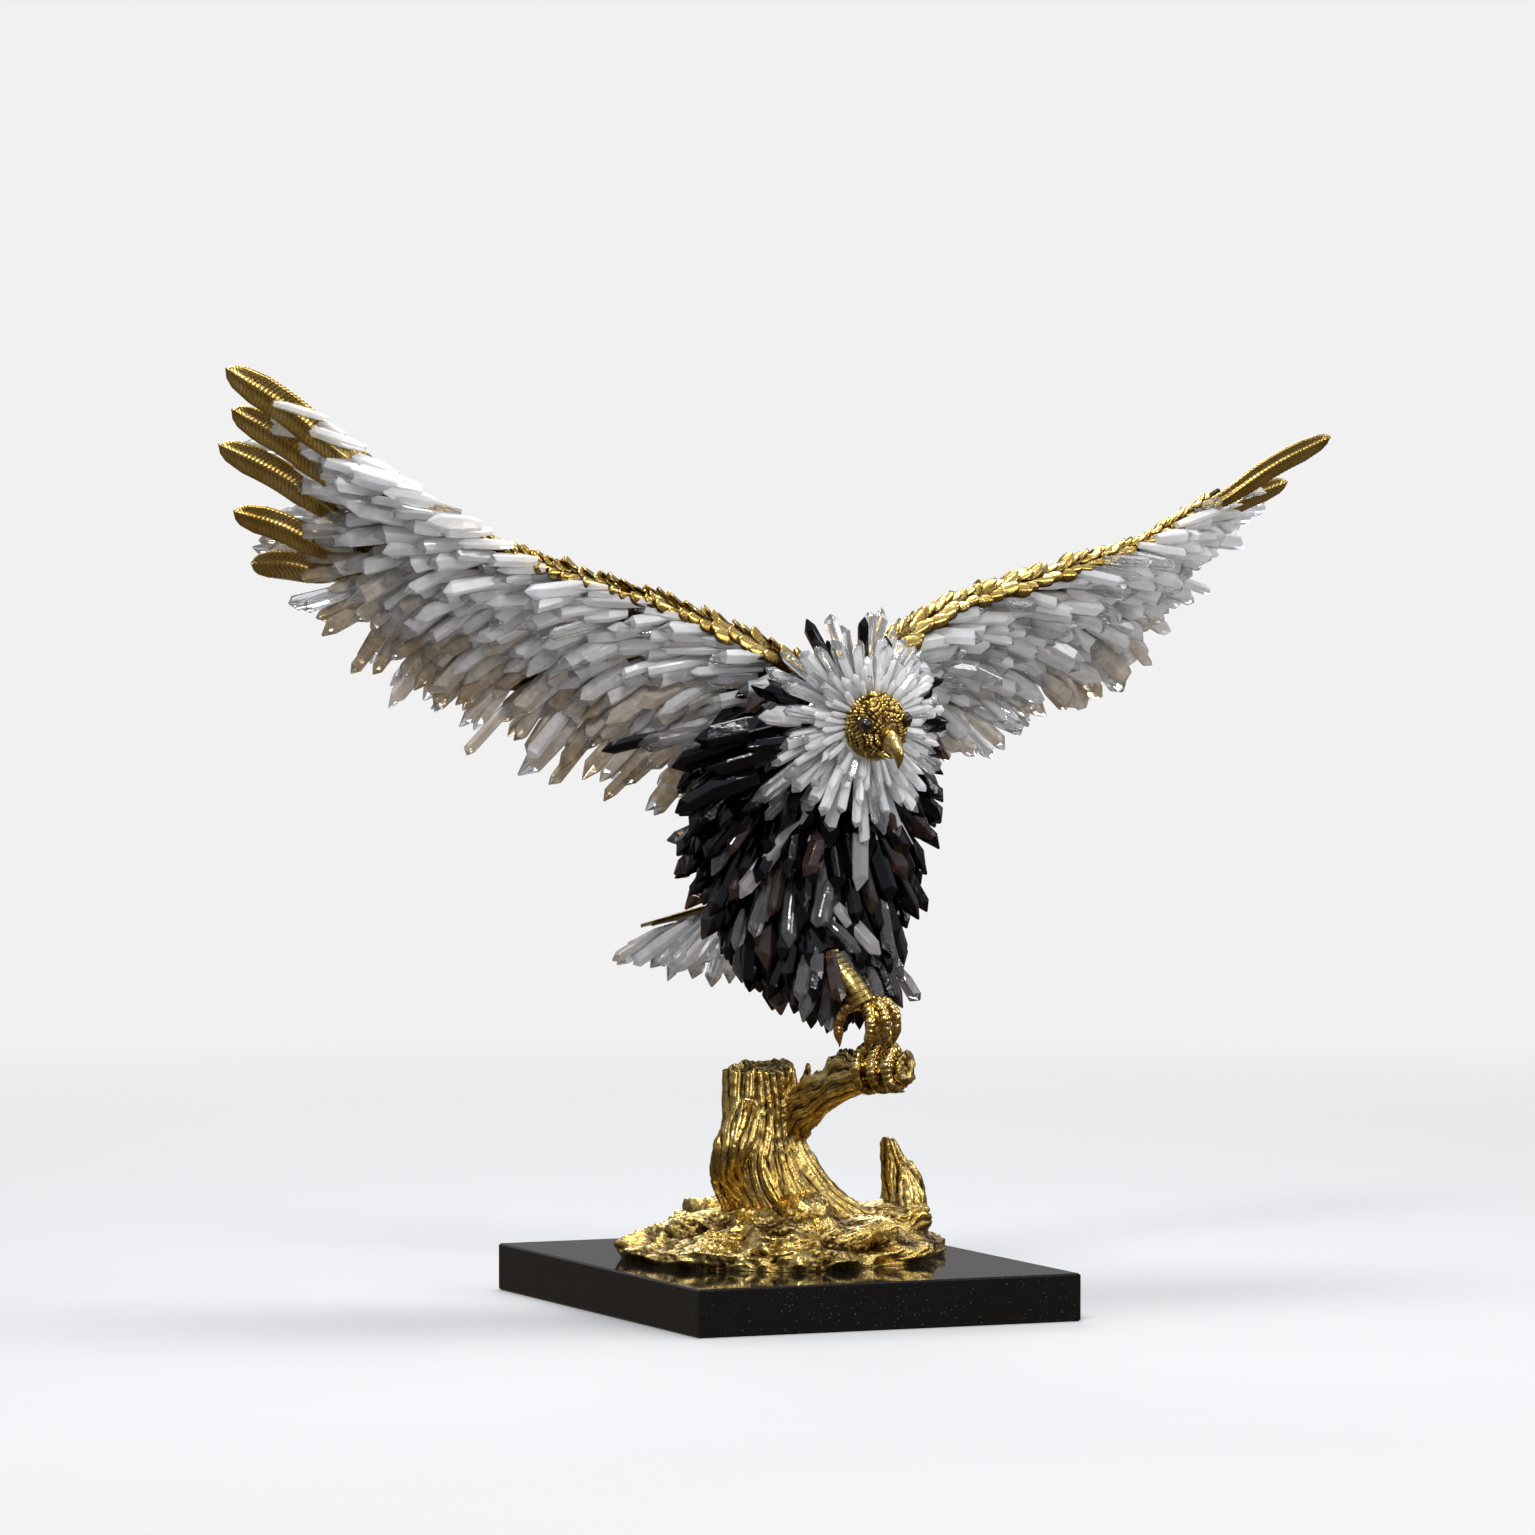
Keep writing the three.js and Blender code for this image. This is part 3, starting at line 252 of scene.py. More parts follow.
# Each part of the stump: its path and its radii along it.
ROOTS = {
    "sweep": (
        [(-4, -6, 90), (16, -16, 54), (54, -22, 27), (98, -20, 27), (122, -16, 34)],
        (18, 20, 19, 16, 10),
    ),
    "spur": ([(108, 2, 20), (110, 4, 50), (103, 4, 78), (96, 3, 96)], (22, 19, 13.5, 6)),
    "strand": ([(-62, -6, 88), (-64, -2, 68), (-55, 0, 46), (-42, 0, 28)], (7, 3.5, 3.5, 7)),
    "knot": (
        [(-30, -10, 134), (-46, -16, 116), (-56, -18, 94), (-55, -12, 76), (-42, -6, 54)],
        (9, 14, 15, 12, 8),
    ),
    "splinter": ([(8, -12, 138), (13, -14, 152), (15, -14, 166)], (6, 4, 0.8)),
    "branch": (BRANCH, (19.6, 16.1, 15.4, 14, 11.2)),
    "trunk": (TRUNK, TRUNK_RADII),
}
# How many bark lines run round each part, how lumpy it is, and how deep the lines are.
BARK_LINES = {"trunk": 76, "branch": 38, "sweep": 44, "spur": 30, "knot": 34, "strand": 8, "splinter": 8}
BARK_LUMPS = {"trunk": 0.075, "knot": 0.12}
PLAIN_LUMPS = 0.06
BARK_DEPTH = 3.5
# The tree's one skin is made of cells this large, smoothed this often.
TREE_CELL = 1.12
TREE_SMOOTHING = 10
SLAB_ARRIS = 0.5

# Lamps: where each stands and what it aims at in metres, its size, its power and its tint.
LAMPS = {
    "key": ((-1.5, -2.3, 3.0), (0, 0, 0.45), (0.75, 0.75), 95, (1, 1, 1)),
    "top": ((0.2, 0.3, 3.3), (0, 0, 0.4), (1.8, 1.2), 80, (1, 1, 1)),
    "side": ((2.8, -1.3, 1.6), (0, 0, 0.45), (0.5, 1.5), 24, (1, 1, 1)),
    "rim": ((0.8, 2.8, 1.9), (0, 0, 0.5), (1.6, 0.7), 30, (1, 1, 1)),
    "front": ((0.9, -3.4, 0.9), (0, 0, 0.45), (1.6, 0.9), 28, (1.0, 0.96, 0.9)),
}
FLOOR_RADIUS = 4

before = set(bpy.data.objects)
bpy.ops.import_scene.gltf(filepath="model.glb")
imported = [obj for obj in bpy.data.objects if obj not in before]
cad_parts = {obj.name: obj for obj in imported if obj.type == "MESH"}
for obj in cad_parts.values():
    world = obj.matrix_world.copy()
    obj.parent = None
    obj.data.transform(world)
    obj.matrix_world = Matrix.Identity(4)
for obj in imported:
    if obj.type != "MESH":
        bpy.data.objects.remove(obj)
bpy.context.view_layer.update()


def unit(v):
    v = np.asarray(v, float)
    return v / np.maximum(np.linalg.norm(v, axis=-1, keepdims=True), 1e-9)


def square_to(axis, towards=UP):
    """Two directions square to an axis, the first one as near as it can be to `towards`."""
    side = np.array([0.0, 1.0, 0.0]) if abs(axis @ towards) > 0.98 else np.asarray(towards, float)
    first = unit(side - axis * (axis @ side))
    return first, np.cross(axis, first)


def lattice(cells, seed):
    """A repeatable number from 0 to 1 for each cell of a lattice."""
    mixed = cells @ np.array([127.1, 311.7, 74.7]) + seed * 13.37
    return np.modf(np.abs(np.sin(mixed) * 43758.5453))[0]


def noise(points, size, seed=0):
    """Smooth noise from 0 to 1 that changes over about `size`, which may differ along X, Y and Z."""
    scaled = np.asarray(points) / size
    cell = np.floor(scaled)
    w = scaled - cell
    w = w * w * (3 - 2 * w)
    total = 0
    for corner in np.ndindex(2, 2, 2):
        share = np.prod(np.where(np.array(corner) == 1, w, 1 - w), axis=-1)
        total = total + share * lattice(cell + corner, seed)
    return total


def turns(count):
    """Evenly spaced angles round a full turn."""
    return np.arange(count) * 2 * math.pi / count


def smooth_step(low, high, value):
    x = np.clip((value - low) / (high - low), 0, 1)
    return x * x * (3 - 2 * x)


class Spline:
    """A smooth curve through points, the same one that the CAD uses."""

    def __init__(self, points):
        p = np.asarray(points, float)
        self.count = len(p) - 1
        self.points = np.vstack([2 * p[0] - p[1], p, 2 * p[-1] - p[-2]])

    def at(self, t):
        t = np.clip(np.asarray(t, float), 0, 1) * self.count
        i = np.minimum(t.astype(int), self.count - 1)
        w = (t - i)[..., None]
        a, b, c, d = (self.points[i + k] for k in range(4))
        m, n = (c - a) / 2, (d - b) / 2
        return (2 * b - 2 * c + m + n) * w**3 + (-3 * b + 3 * c - 2 * m - n) * w**2 + m * w + b

    def tangent(self, t):
        t = np.asarray(t, float)
        low, high = np.clip(t - 1e-4, 0, 1), np.clip(t + 1e-4, 0, 1)
        return unit(self.at(high) - self.at(low))

    def even(self, count):
        """Values of t whose points are evenly spaced along the curve."""
        t = np.linspace(0, 1, 400)
        steps = np.linalg.norm(np.diff(self.at(t), axis=0), axis=1)
        reach = np.concatenate([[0], np.cumsum(steps)])
        return np.interp(np.linspace(0, reach[-1], count), reach, t)

    def length(self):
        return np.linalg.norm(np.diff(self.at(np.linspace(0, 1, 400)), axis=0), axis=1).sum()


def grid_faces(rows, columns):
    """Quads between the neighbours of a grid of points, whose last column joins its first."""
    r = np.arange(rows - 1)[:, None]
    c = np.arange(columns)[None, :]
    n = (c + 1) % columns
    quads = [r * columns + c, r * columns + n, (r + 1) * columns + n, (r + 1) * columns + c]
    return np.stack(np.broadcast_arrays(*quads), -1).reshape(-1, 4).tolist()


def add_object(name, data):
    made = bpy.data.objects.new(name, data)
    bpy.context.scene.collection.objects.link(made)
    return made


def store_marks(mesh, relief, grain):
    """Stores each point's relief, which also carries painted shade, and grain, which the materials read."""
    mesh.attributes.new("relief", "FLOAT", "POINT").data.foreach_set("value", relief)
    mesh.attributes.new("grain", "FLOAT_VECTOR", "POINT").data.foreach_set("vector", grain.ravel())


class Shape:
    """Points and faces that are gathered into one mesh. Relief is 0 in a groove and 1 on a crest, and is set
    low in some places as painted shade.
    """

    def __init__(self):
        self.points, self.faces, self.kinds, self.relief, self.grain = [], [], [], [], []
        self.count = 0

    def add(self, points, faces, kind=0, relief=1.0, grain=None):
        points = np.asarray(points, float).reshape(-1, 3)
        self.points.append(points)
        self.faces += [[i + self.count for i in face] for face in faces]
        self.kinds += [kind] * len(faces)
        self.relief.append(np.broadcast_to(np.asarray(relief, float).ravel(), (len(points),)))
        self.grain.append(points if grain is None else np.asarray(grain, float).reshape(-1, 3))
        self.count += len(points)

    def add_grid(self, points, ends=True, **about):
        """A grid of points. Its two ends are closed by a face each."""
        rows, columns = points.shape[:2]
        faces = grid_faces(rows, columns)
        if ends:
            faces.append(list(range(columns))[::-1])
            faces.append([(rows - 1) * columns + i for i in range(columns)])
        self.add(points, faces, **about)

    def piece(self, name, materials, smooth=True):
        """Makes the shape an object, whose faces point outwards."""
        mesh = bpy.data.meshes.new(name)
        points = (np.vstack(self.points) + (0, 0, SLAB_HEIGHT)) * MM
        mesh.from_pydata(points.tolist(), [], self.faces)
        for surface in materials:
            mesh.materials.append(surface)
        mesh.polygons.foreach_set("material_index", self.kinds)
        store_marks(mesh, np.concatenate(self.relief), np.vstack(self.grain))
        work = bmesh.new()
        work.from_mesh(mesh)
        bmesh.ops.recalc_face_normals(work, faces=work.faces)
        work.to_mesh(mesh)
        work.free()
        mesh.polygons.foreach_set("use_smooth", [smooth] * len(mesh.polygons))
        mesh.update()
        return add_object(name, mesh)


def finish_piece(piece, slot, *nodes):
    """A piece rides on the one body and stands for CAD nodes, which are hidden. Its slot is not used."""
    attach(piece, "root")
    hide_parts(*nodes)
    return piece


def carried(tangent, towards):
    """Directions square to a path, carried along it without twist, and the ones square to both."""
    side = np.empty_like(tangent)
    side[0] = square_to(tangent[0], towards)[0]
    for i in range(1, len(tangent)):
        side[i] = unit(side[i - 1] - tangent[i] * (side[i - 1] @ tangent[i]))
    return side, np.cross(tangent, side)


def sweep(path, radius, rows, sides, up=UP, flat=(1, 1), even=True):
    """A grid of points round a path. `radius` gives each point's distance from the path's share and turn."""
    line = Spline(path)
    centre = line.at(line.even(rows) if even else np.linspace(0, 1, rows))
    tangent = unit(np.gradient(centre, axis=0))
    side, other = carried(tangent, up)
    turn = turns(sides)
    share = np.linspace(0, 1, rows)[:, None]
    r = radius(share, turn[None, :])[..., None]
    across = side[:, None] * (np.cos(turn) * flat[0])[None, :, None]
    across = across + other[:, None] * (np.sin(turn) * flat[1])[None, :, None]
    return centre[:, None] + across * r


def steps(values):
    """A function that runs smoothly through evenly spaced values."""
    places = np.linspace(0, 1, len(values))
    return lambda share: np.interp(share, places, values)


def tapered(values):
    """A radius for `sweep` that runs through evenly spaced values and is the same all round."""
    size = steps(values)
    return lambda share, turn: size(share) + 0 * turn


def add_crystal(shape, root, direction, length, radius, seed, kind=0, tip_kind=None, sharp=1.0):
    """A six-sided quartz point with worn edges and an uneven tip, which may be clearer than the rest."""
    rng = np.random.default_rng(seed)
    axis = unit(direction)
    u, v = square_to(axis)
    corner = rng.uniform(0, math.pi) + (np.arange(6) + rng.uniform(-0.2, 0.2, 6)) * math.pi / 3
    far = rng.uniform(0.82, 1.08, 6)[:, None]
    corners = np.stack([np.cos(corner), np.sin(corner)], -1) * far
    worn = rng.uniform(0.05, 0.14)
    before, after = np.roll(corners, 1, 0), np.roll(corners, -1, 0)
    ring = np.stack([corners + (before - corners) * worn, corners + (after - corners) * worn], 1)
    ring = ring.reshape(12, 2)
    point = radius * rng.uniform(0.6, 1.25) * sharp
    short = rng.uniform(0, 0.75, 6).repeat(2) * radius
    lean = rng.uniform(-0.36, 0.36, 2)
    taper = rng.uniform(0.84, 1.0)
    levels = [
        (ring * 0.6, np.zeros(12)),
        (ring * (1 + taper) / 2, np.full(12, 0.34 * length)),
        (ring * taper, length - point - short),
        (ring * taper * 0.15 + lean * 0.85, np.full(12, length - 0.1 * point)),
    ]
    points = [root + axis * z[:, None] + (u * xy[:, :1] + v * xy[:, 1:]) * radius for xy, z in levels]
    tip = root + axis * length + (u * lean[0] + v * lean[1]) * radius * 0.9
    faces = grid_faces(4, 12)
    faces += [[36 + i, 36 + (i + 1) % 12, 48] for i in range(12)]
    faces.append(list(range(12))[::-1])
    around = np.linspace(0, 2 * math.pi * radius, 12)
    grain = [np.stack([around, z, np.full(12, seed * 7.3)], -1) for _, z in levels]
    grain.append(np.array([[0, length, seed * 7.3]]))
    shape.add(np.vstack([*points, tip[None]]), faces, kind, grain=np.vstack(grain))
    if tip_kind is not None:
        shape.kinds[-49:-1] = [kind] * 24 + [tip_kind] * 24


def add_crystals_between(shape, places, table, first_seed, tip_kind=None, sharp=1.0):
    """The points of a table, whose roots and tips `places` turns into places on the slab."""
    for k, (root, tip, radius, kind) in enumerate(table):
        start, end = places(root, tip)
        length = np.linalg.norm(end - start)
        add_crystal(shape, start, end - start, length, radius, first_seed + k, kind, tip_kind, sharp)


def add_feather(
    shape, root, along, up, length, width,
    thick=1.6, rows=8, columns=5, barb=0.0, barb_pitch=3.0, cup=0.12, bend=0.0, outline=LEAF, kind=0,
):
    """A cast feather, the same on both faces: a cupped leaf with a quill and slanting barbs."""
    axis = unit(along)
    top, across = square_to(axis, up)
    t = np.linspace(0, 1, rows)[:, None]
    u = np.linspace(-1, 1, columns)[None, :]
    half = width / 2 * np.interp(t, *zip(*outline))
    reach = t * length
    quill = np.exp(-((u * half / (0.05 * width + 0.5)) ** 2)) * (1 - 0.6 * t) * thick * 0.7
    stripe = np.abs(np.sin(math.pi * (reach - np.abs(u) * half * 1.3) / barb_pitch))
    edge = 1 - 0.8 * np.abs(u) ** 3
    # The relief is darker by the root, and at the edges of all but the long feathers it is painted shade in
    # the gaps where feathers overlap.
    share_in = np.maximum(reach - 0.3 * length, 0) + 0.4
    relief = np.clip(0.1 + 0.9 * stripe, 0, 1) * (1 - 0.6 * np.exp(-share_in / 1.5)) * np.ones_like(quill)
    if kind:
        relief = np.clip(relief + 0.12 + 0.5 * np.abs(u) ** 6, 0, 1)
    else:
        relief = relief * (1 - 0.85 * np.abs(u) ** 4)
    relief = np.maximum(relief, np.minimum(quill / (thick * 0.5), 1))
    rise = thick / 2 * edge + quill + barb * (stripe - 0.5)
    middle = -cup * u**2 * half
    side = u * half + bend * np.sin(2 * math.pi * t) * (1 - t)

    def surface(height):
        return root + axis * reach[..., None] + across * side[..., None] + top * height[..., None]

    over, under = surface(middle + rise), surface(middle - rise)
    ring = np.concatenate([over, under[:, ::-1]], axis=1)
    both = np.concatenate([relief, relief[:, ::-1]], axis=1)
    shape.add_grid(ring, relief=both, kind=kind)


class Nodes:
    """Short ways to add nodes to a tree."""

    def __init__(self, owner):
        owner.use_nodes = True
        self.nodes = owner.node_tree.nodes
        self.links = owner.node_tree.links

    def node(self, kind, inputs=None, **settings):
        made = self.nodes.new(kind)
        for name, value in settings.items():
            setattr(made, name, value)
        for name, value in (inputs or {}).items():
            self.feed(made.inputs[name], value)
        return made

    def feed(self, socket, value):
        if isinstance(value, bpy.types.NodeSocket):
            self.links.new(value, socket)
        else:
            socket.default_value = value

    def coordinates(self, output):
        return self.node("ShaderNodeTexCoord").outputs[output]

    def range(self, value, low, high, to_low, to_high):
        inputs = {"Value": value, "From Min": low, "From Max": high, "To Min": to_low, "To Max": to_high}
        return self.node("ShaderNodeMapRange", inputs).outputs["Result"]

    def maths(self, operation, a, b):
        made = self.node("ShaderNodeMath", operation=operation)
        self.feed(made.inputs[0], a)
        self.feed(made.inputs[1], b)
        return made.outputs[0]


class Surface(Nodes):
    """A material and short ways to add its nodes. Its plain values are named after the shader's sockets."""

    def __init__(self, name, **plain):
        self.material = bpy.data.materials.new(name)
        super().__init__(self.material)
        self.shader = self.nodes["Principled BSDF"]
        for socket, value in plain.items():
            self.set(socket.replace("_", " "), value)

    def set(self, socket, value):
        self.feed(self.shader.inputs[socket], value)

    def place(self):
        """The object's own coordinates in millimetres."""
        mapping = self.node("ShaderNodeMapping", {"Vector": self.coordinates("Object")})
        mapping.inputs["Scale"].default_value = [1 / MM] * 3
        return mapping.outputs["Vector"]

    def attribute(self, name, output="Fac"):
        return self.node("ShaderNodeAttribute", attribute_name=name).outputs[output]

    def noise(self, vector, size, detail):
        inputs = {"Vector": vector, "Scale": 1 / size, "Detail": detail}
        return self.node("ShaderNodeTexNoise", inputs).outputs["Fac"]

    def mix(self, share, a, b):
        made = self.node("ShaderNodeMix", data_type="RGBA")
        self.feed(made.inputs["Factor"], share)
        self.feed(made.inputs["A"], a)
        self.feed(made.inputs["B"], b)
        return made.outputs["Result"]

    def bump(self, height, distance, strength=1.0):
        inputs = {"Height": height, "Distance": distance * MM, "Strength": strength}
        self.set("Normal", self.node("ShaderNodeBump", inputs).outputs["Normal"])


def colour(r, g, b):
    return (r, g, b, 1.0)


def gilt(name, grain=1.6, depth=0.25, worn=0.0, patina_and_shade=0.0, streaks=False):
    """Gilt brass: bright on the crests, with dark brown in the grooves that is partly patina and partly
    painted shade.
    """
    surface = Surface(name, Metallic=1.0)
    spot = surface.place()
    fine = surface.noise(surface.attribute("grain", "Vector") if streaks else spot, grain, 4)
    broad = surface.noise(spot, 26, 3)
    crest = surface.maths("ADD", surface.attribute("relief"), surface.range(fine, 0.3, 0.7, -0.3, 0.3))
    # Low relief turns dark brown: patina in the grooves, and painted shade for the contrast that harder light
    # would give.
    share = surface.range(crest, 0.1 + patina_and_shade, 0.85 + patina_and_shade, 0.0, 1.0)
    gold = surface.mix(
        surface.range(broad, 0.35, 0.65, 0, 1), colour(0.62, 0.4, 0.09), colour(0.83, 0.62, 0.23)
    )
    surface.set("Base Color", surface.mix(share, colour(0.04, 0.018, 0.004), gold))
    rough = surface.range(fine, 0.3, 0.7, 0.1 + worn, 0.24 + worn)
    surface.set("Roughness", surface.maths("ADD", rough, surface.range(share, 0, 1, 0.25, 0)))
    surface.bump(fine, depth)
    return surface.material


def quartz(name, clear, veil, transmission, roughness, veil_share, lines=0.7, glow=0.0, gleam=0.5):
    """Quartz with milky veils inside, thickest by the root, and fine growth lines across its faces."""
    surface = Surface(
        name, Transmission_Weight=transmission, IOR=1.544, Specular_IOR_Level=gleam,
        Subsurface_Weight=glow, Subsurface_Radius=(1.0, 1.0, 1.05), Subsurface_Scale=5 * MM,
    )
    grain = surface.attribute("grain", "Vector")
    spot = surface.place()
    cloud = surface.noise(spot, 6, 5)
    parts = surface.node("ShaderNodeSeparateXYZ", {"Vector": grain})
    x, y, z = (parts.outputs[name] for name in "XYZ")
    across = surface.node("ShaderNodeCombineXYZ", {"X": surface.maths("MULTIPLY", x, 0.12), "Y": y, "Z": z})
    growth = surface.noise(across.outputs["Vector"], 1.5, 2)
    root = surface.range(y, 8, 46, 0.22, -0.12)
    share = surface.range(surface.maths("ADD", cloud, root), 0.62 - veil_share, 0.95 - veil_share, 0, 1)
    surface.set("Base Color", surface.mix(share, clear, veil))
    surface.set("Roughness", surface.range(growth, 0.35, 0.7, roughness, roughness + 0.09))
    surface.bump(surface.maths("ADD", growth, surface.maths("MULTIPLY", cloud, 4.0)), 0.1, lines)
    return surface.material


def granite():
    """Polished black granite with fine pale specks."""
    surface = Surface("black_granite", IOR=1.5, Specular_IOR_Level=0.3)
    spot = surface.place()
    crystals = surface.node("ShaderNodeTexVoronoi", {"Vector": spot, "Scale": 1 / 1.7})
    speck = surface.range(crystals.outputs["Distance"], 0.1, 0.22, 1, 0)
    some = surface.range(surface.noise(spot, 2.2, 1), 0.6, 0.64, 0, 1)
    share = surface.maths("MULTIPLY", speck, some)
    patches = surface.noise(spot, 1.1, 2)
    ground = surface.mix(patches, colour(0.001, 0.001, 0.001), colour(0.009, 0.009, 0.009))
    surface.set("Base Color", surface.mix(share, ground, colour(0.2, 0.19, 0.17)))
    surface.set("Roughness", surface.range(crystals.outputs["Distance"], 0, 0.6, 0.1, 0.05))
    return surface.material


def bead():
    """Polished black stone."""
    surface = Surface("black_bead", IOR=1.6)
    tone = surface.noise(surface.place(), 1.5, 2)
    surface.set("Base Color", surface.mix(tone, colour(0.002, 0.002, 0.002), colour(0.012, 0.01, 0.01)))
    surface.set("Roughness", surface.range(tone, 0.3, 0.7, 0.03, 0.08))
    return surface.material


GILT_FEATHER = gilt("gilt_feather", 0.8, 0.14)
GILT_QUILL = gilt("gilt_quill", 0.9, 0.1, 0.02, 0.12)
GILT_CHASED = gilt("gilt_chased", 0.8, 0.12)
GILT_BARK = gilt("gilt_bark", 1.3, 0.55, 0.03, 0.16, True)
GILT_ROCK = gilt("gilt_rock", 2.3, 0.7, 0.04, 0.2)
GILT_SMOOTH = gilt("gilt_smooth", 1.4, 0.22, 0.0, -0.02)
CLEAR = quartz("quartz_clear", colour(1.0, 1.0, 1.0), colour(0.93, 0.95, 0.98), 0.92, 0.03, 0.1, 0.5)
WHITE = quartz("quartz_white", colour(0.88, 0.91, 0.95), colour(1.0, 1.0, 1.0), 0.54, 0.08, 0.36, 0.8, 0.45)
MILKY = quartz("quartz_milky", colour(0.8, 0.785, 0.79), colour(0.98, 0.965, 0.96), 0.6, 0.07, 0.3, 0.8, 0.35)
# Warm and honey quartz are browner and darker; where they fill the wings' lower rows, that is partly painted
# shade.
WARM = quartz("quartz_warm", colour(0.68, 0.6, 0.5), colour(0.9, 0.85, 0.78), 0.67, 0.07, 0.24, 0.8, 0.25)
HONEY = quartz(
    "quartz_honey", colour(0.48, 0.38, 0.26), colour(0.74, 0.66, 0.54), 0.68, 0.06, 0.18, 0.7, 0.15
)
SMOKY = quartz(
    "quartz_smoky", colour(0.001, 0.001, 0.0015), colour(0.003, 0.003, 0.003), 0.0, 0.02, 0.0, 0.4, gleam=0.3
)
BROWN = quartz("quartz_brown", colour(0.14, 0.085, 0.07), colour(0.05, 0.034, 0.03), 0.85, 0.03, 0.0, 0.5)
GREY = quartz("quartz_grey", colour(0.42, 0.4, 0.41), colour(0.3, 0.285, 0.29), 0.88, 0.04, 0.1, 0.5)
PALE = quartz("quartz_pale", colour(0.66, 0.64, 0.64), colour(0.86, 0.84, 0.84), 0.72, 0.05, 0.2, 0.7, 0.2)
GRANITE = granite()
BEAD = bead()
LIGHT_QUARTZ = [WHITE, CLEAR, MILKY, WARM, HONEY]
DARK_QUARTZ = [SMOKY, PALE, BROWN, GREY]


class Wing:
    """One wing's surface: s runs from shoulder to hand, t from the leading edge back."""

    def __init__(self, name):
        self.name = name
        self.side = -1 if name == "right" else 1
        self.lift = WING_LIFTS[name]
        last = len(WING_LEAD) - 1
        lifts = [self.lift * (i / last) ** 3 for i in range(last + 1)]
        lead = [BIRD + (self.side * x, y, z + lift) for (x, y, z), lift in zip(WING_LEAD, lifts)]
        self.lead = Spline(lead)
        self.chord = Spline([(self.side * x, y, z) for x, y, z in WING_CHORD])
        self.length = self.lead.length()

    def frame(self, s):
        """The directions out along the wing, back along the chord and square to both."""
        at = np.clip(s, 0, 1)
        out = self.lead.tangent(at)
        back = unit(self.chord.at(at))
        top = unit(np.cross(out, back) * self.side)
        return out, back, top

    def point(self, s, t, rise=0.0):
        """A place on the wing, raised by `rise`. It goes straight on past the shoulder and the hand."""
        s, t, rise = np.broadcast_arrays(np.asarray(s, float), t, rise)
        at = np.clip(s, 0, 1)
        out, _, top = self.frame(s)
        reach = ((s - at) * self.length)[..., None]
        camber = WING_CAMBER * 4 * t * (1 - t)
        place = self.lead.at(at) + out * reach + self.chord.at(at) * t[..., None]
        return place + top * (camber + rise)[..., None]


def wing_kind(warmth_and_painted_shade, pick):
    """The kind of a wing's point for its warmth, which carries painted shade, and a number drawn from 0 to 1.
    """
    kinds = next(kinds for limit, kinds in WING_KINDS if warmth_and_painted_shade < limit)
    return next(kind for share, kind in kinds if pick < share)


def wing_quartz(wing):
    """Rows of points that overlap like shingles, white by the edge and warmer and darker towards the trailing
    one:
    the quartz's own tone, and painted shade on the lower rows.
    """
    shape = Shape()
    rng = np.random.default_rng(31 + wing.side)
    for row in range(WING_QUARTZ_ROWS):
        far = WING_ROW_ENDS[wing.name][row >= 4]
        f = row / (WING_QUARTZ_ROWS - 1)
        for i in range(WING_QUARTZ_PER_ROW):
            step = i + 0.5 * (row % 2) + rng.uniform(-0.1, 0.6)
            s = -0.06 + step / WING_QUARTZ_PER_ROW * (far + 0.06)
            first = np.interp(s, WING_FIRST_ROW_AT, WING_FIRST_ROW[wing.name])
            t = first + (0.7 - first) * f + rng.uniform(-0.025, 0.025)
            out, back, top = wing.frame(s)
            hand = smooth_step(0.74, 1, s)
            rake = np.interp(f, (0, 0.3, 0.6, 1), WING_RAKE[wing.name]) * rng.uniform(0.8, 1.2)
            rake = rake + WING_HAND_RAKE[wing.name] * hand
            sink = rng.uniform(0.1, 0.34) + 0.06 * (1 - f)
            along = unit(out * rake + back) - top * sink + rng.uniform(-0.13, 0.13, 3)
            length = rng.uniform(*WING_QUARTZ_LENGTH) * (1.12 if f > 0.8 else 1) * (0.95 if f < 0.15 else 1)
            radius = rng.uniform(*WING_QUARTZ_RADIUS) * (0.8 if f < 0.15 else 1) * (1 - 0.12 * hand)
            root = wing.point(s, t, -radius * (0.5 if row == 0 else 0.8))
            # Warmer and darker towards the trailing edge, the quartz's tone and painted shade of the lower
            # rows; paler at the hand.
            warmth_and_painted_shade = f + rng.uniform(-0.2, 0.2) - WING_PALER[wing.name] - 0.25 * hand
            kind = wing_kind(warmth_and_painted_shade, rng.uniform())
            clear_tip = 1 if rng.uniform() < 0.6 else None
            seed = row * 100 + i + 40000 * (wing.side + 2)
            add_crystal(shape, root, along, length, radius, seed, kind, clear_tip)
    return shape


def add_wing_plate(wing, shape):
    """A thin plate with a rolled leading edge."""
    s = np.linspace(-0.1, 1, 60)[:, None]
    t = np.linspace(0.03, WING_PLATE_EDGE, 16)[None, :]
    over = wing.point(s, t, WING_SKIN - 0.8)
    under = wing.point(s, t, 0.2)
    shape.add_grid(np.concatenate([over, under[:, ::-1]], axis=1), relief=0.35)

    s = np.linspace(-0.1, 1, 120)
    _, back, top = wing.frame(s)
    centre = wing.point(s, 0.03, 1)
    roll = np.interp(s, WING_ROLL_AT, WING_ROLL)
    turn = turns(14)
    ring = back[:, None] * np.cos(turn)[None, :, None] + top[:, None] * np.sin(turn)[None, :, None]
    # The rolled edge is painted fully dark, painted shade in the gaps between the small feathers over it.
    shape.add_grid(centre[:, None] + ring * roll[:, None, None], relief=0.0)


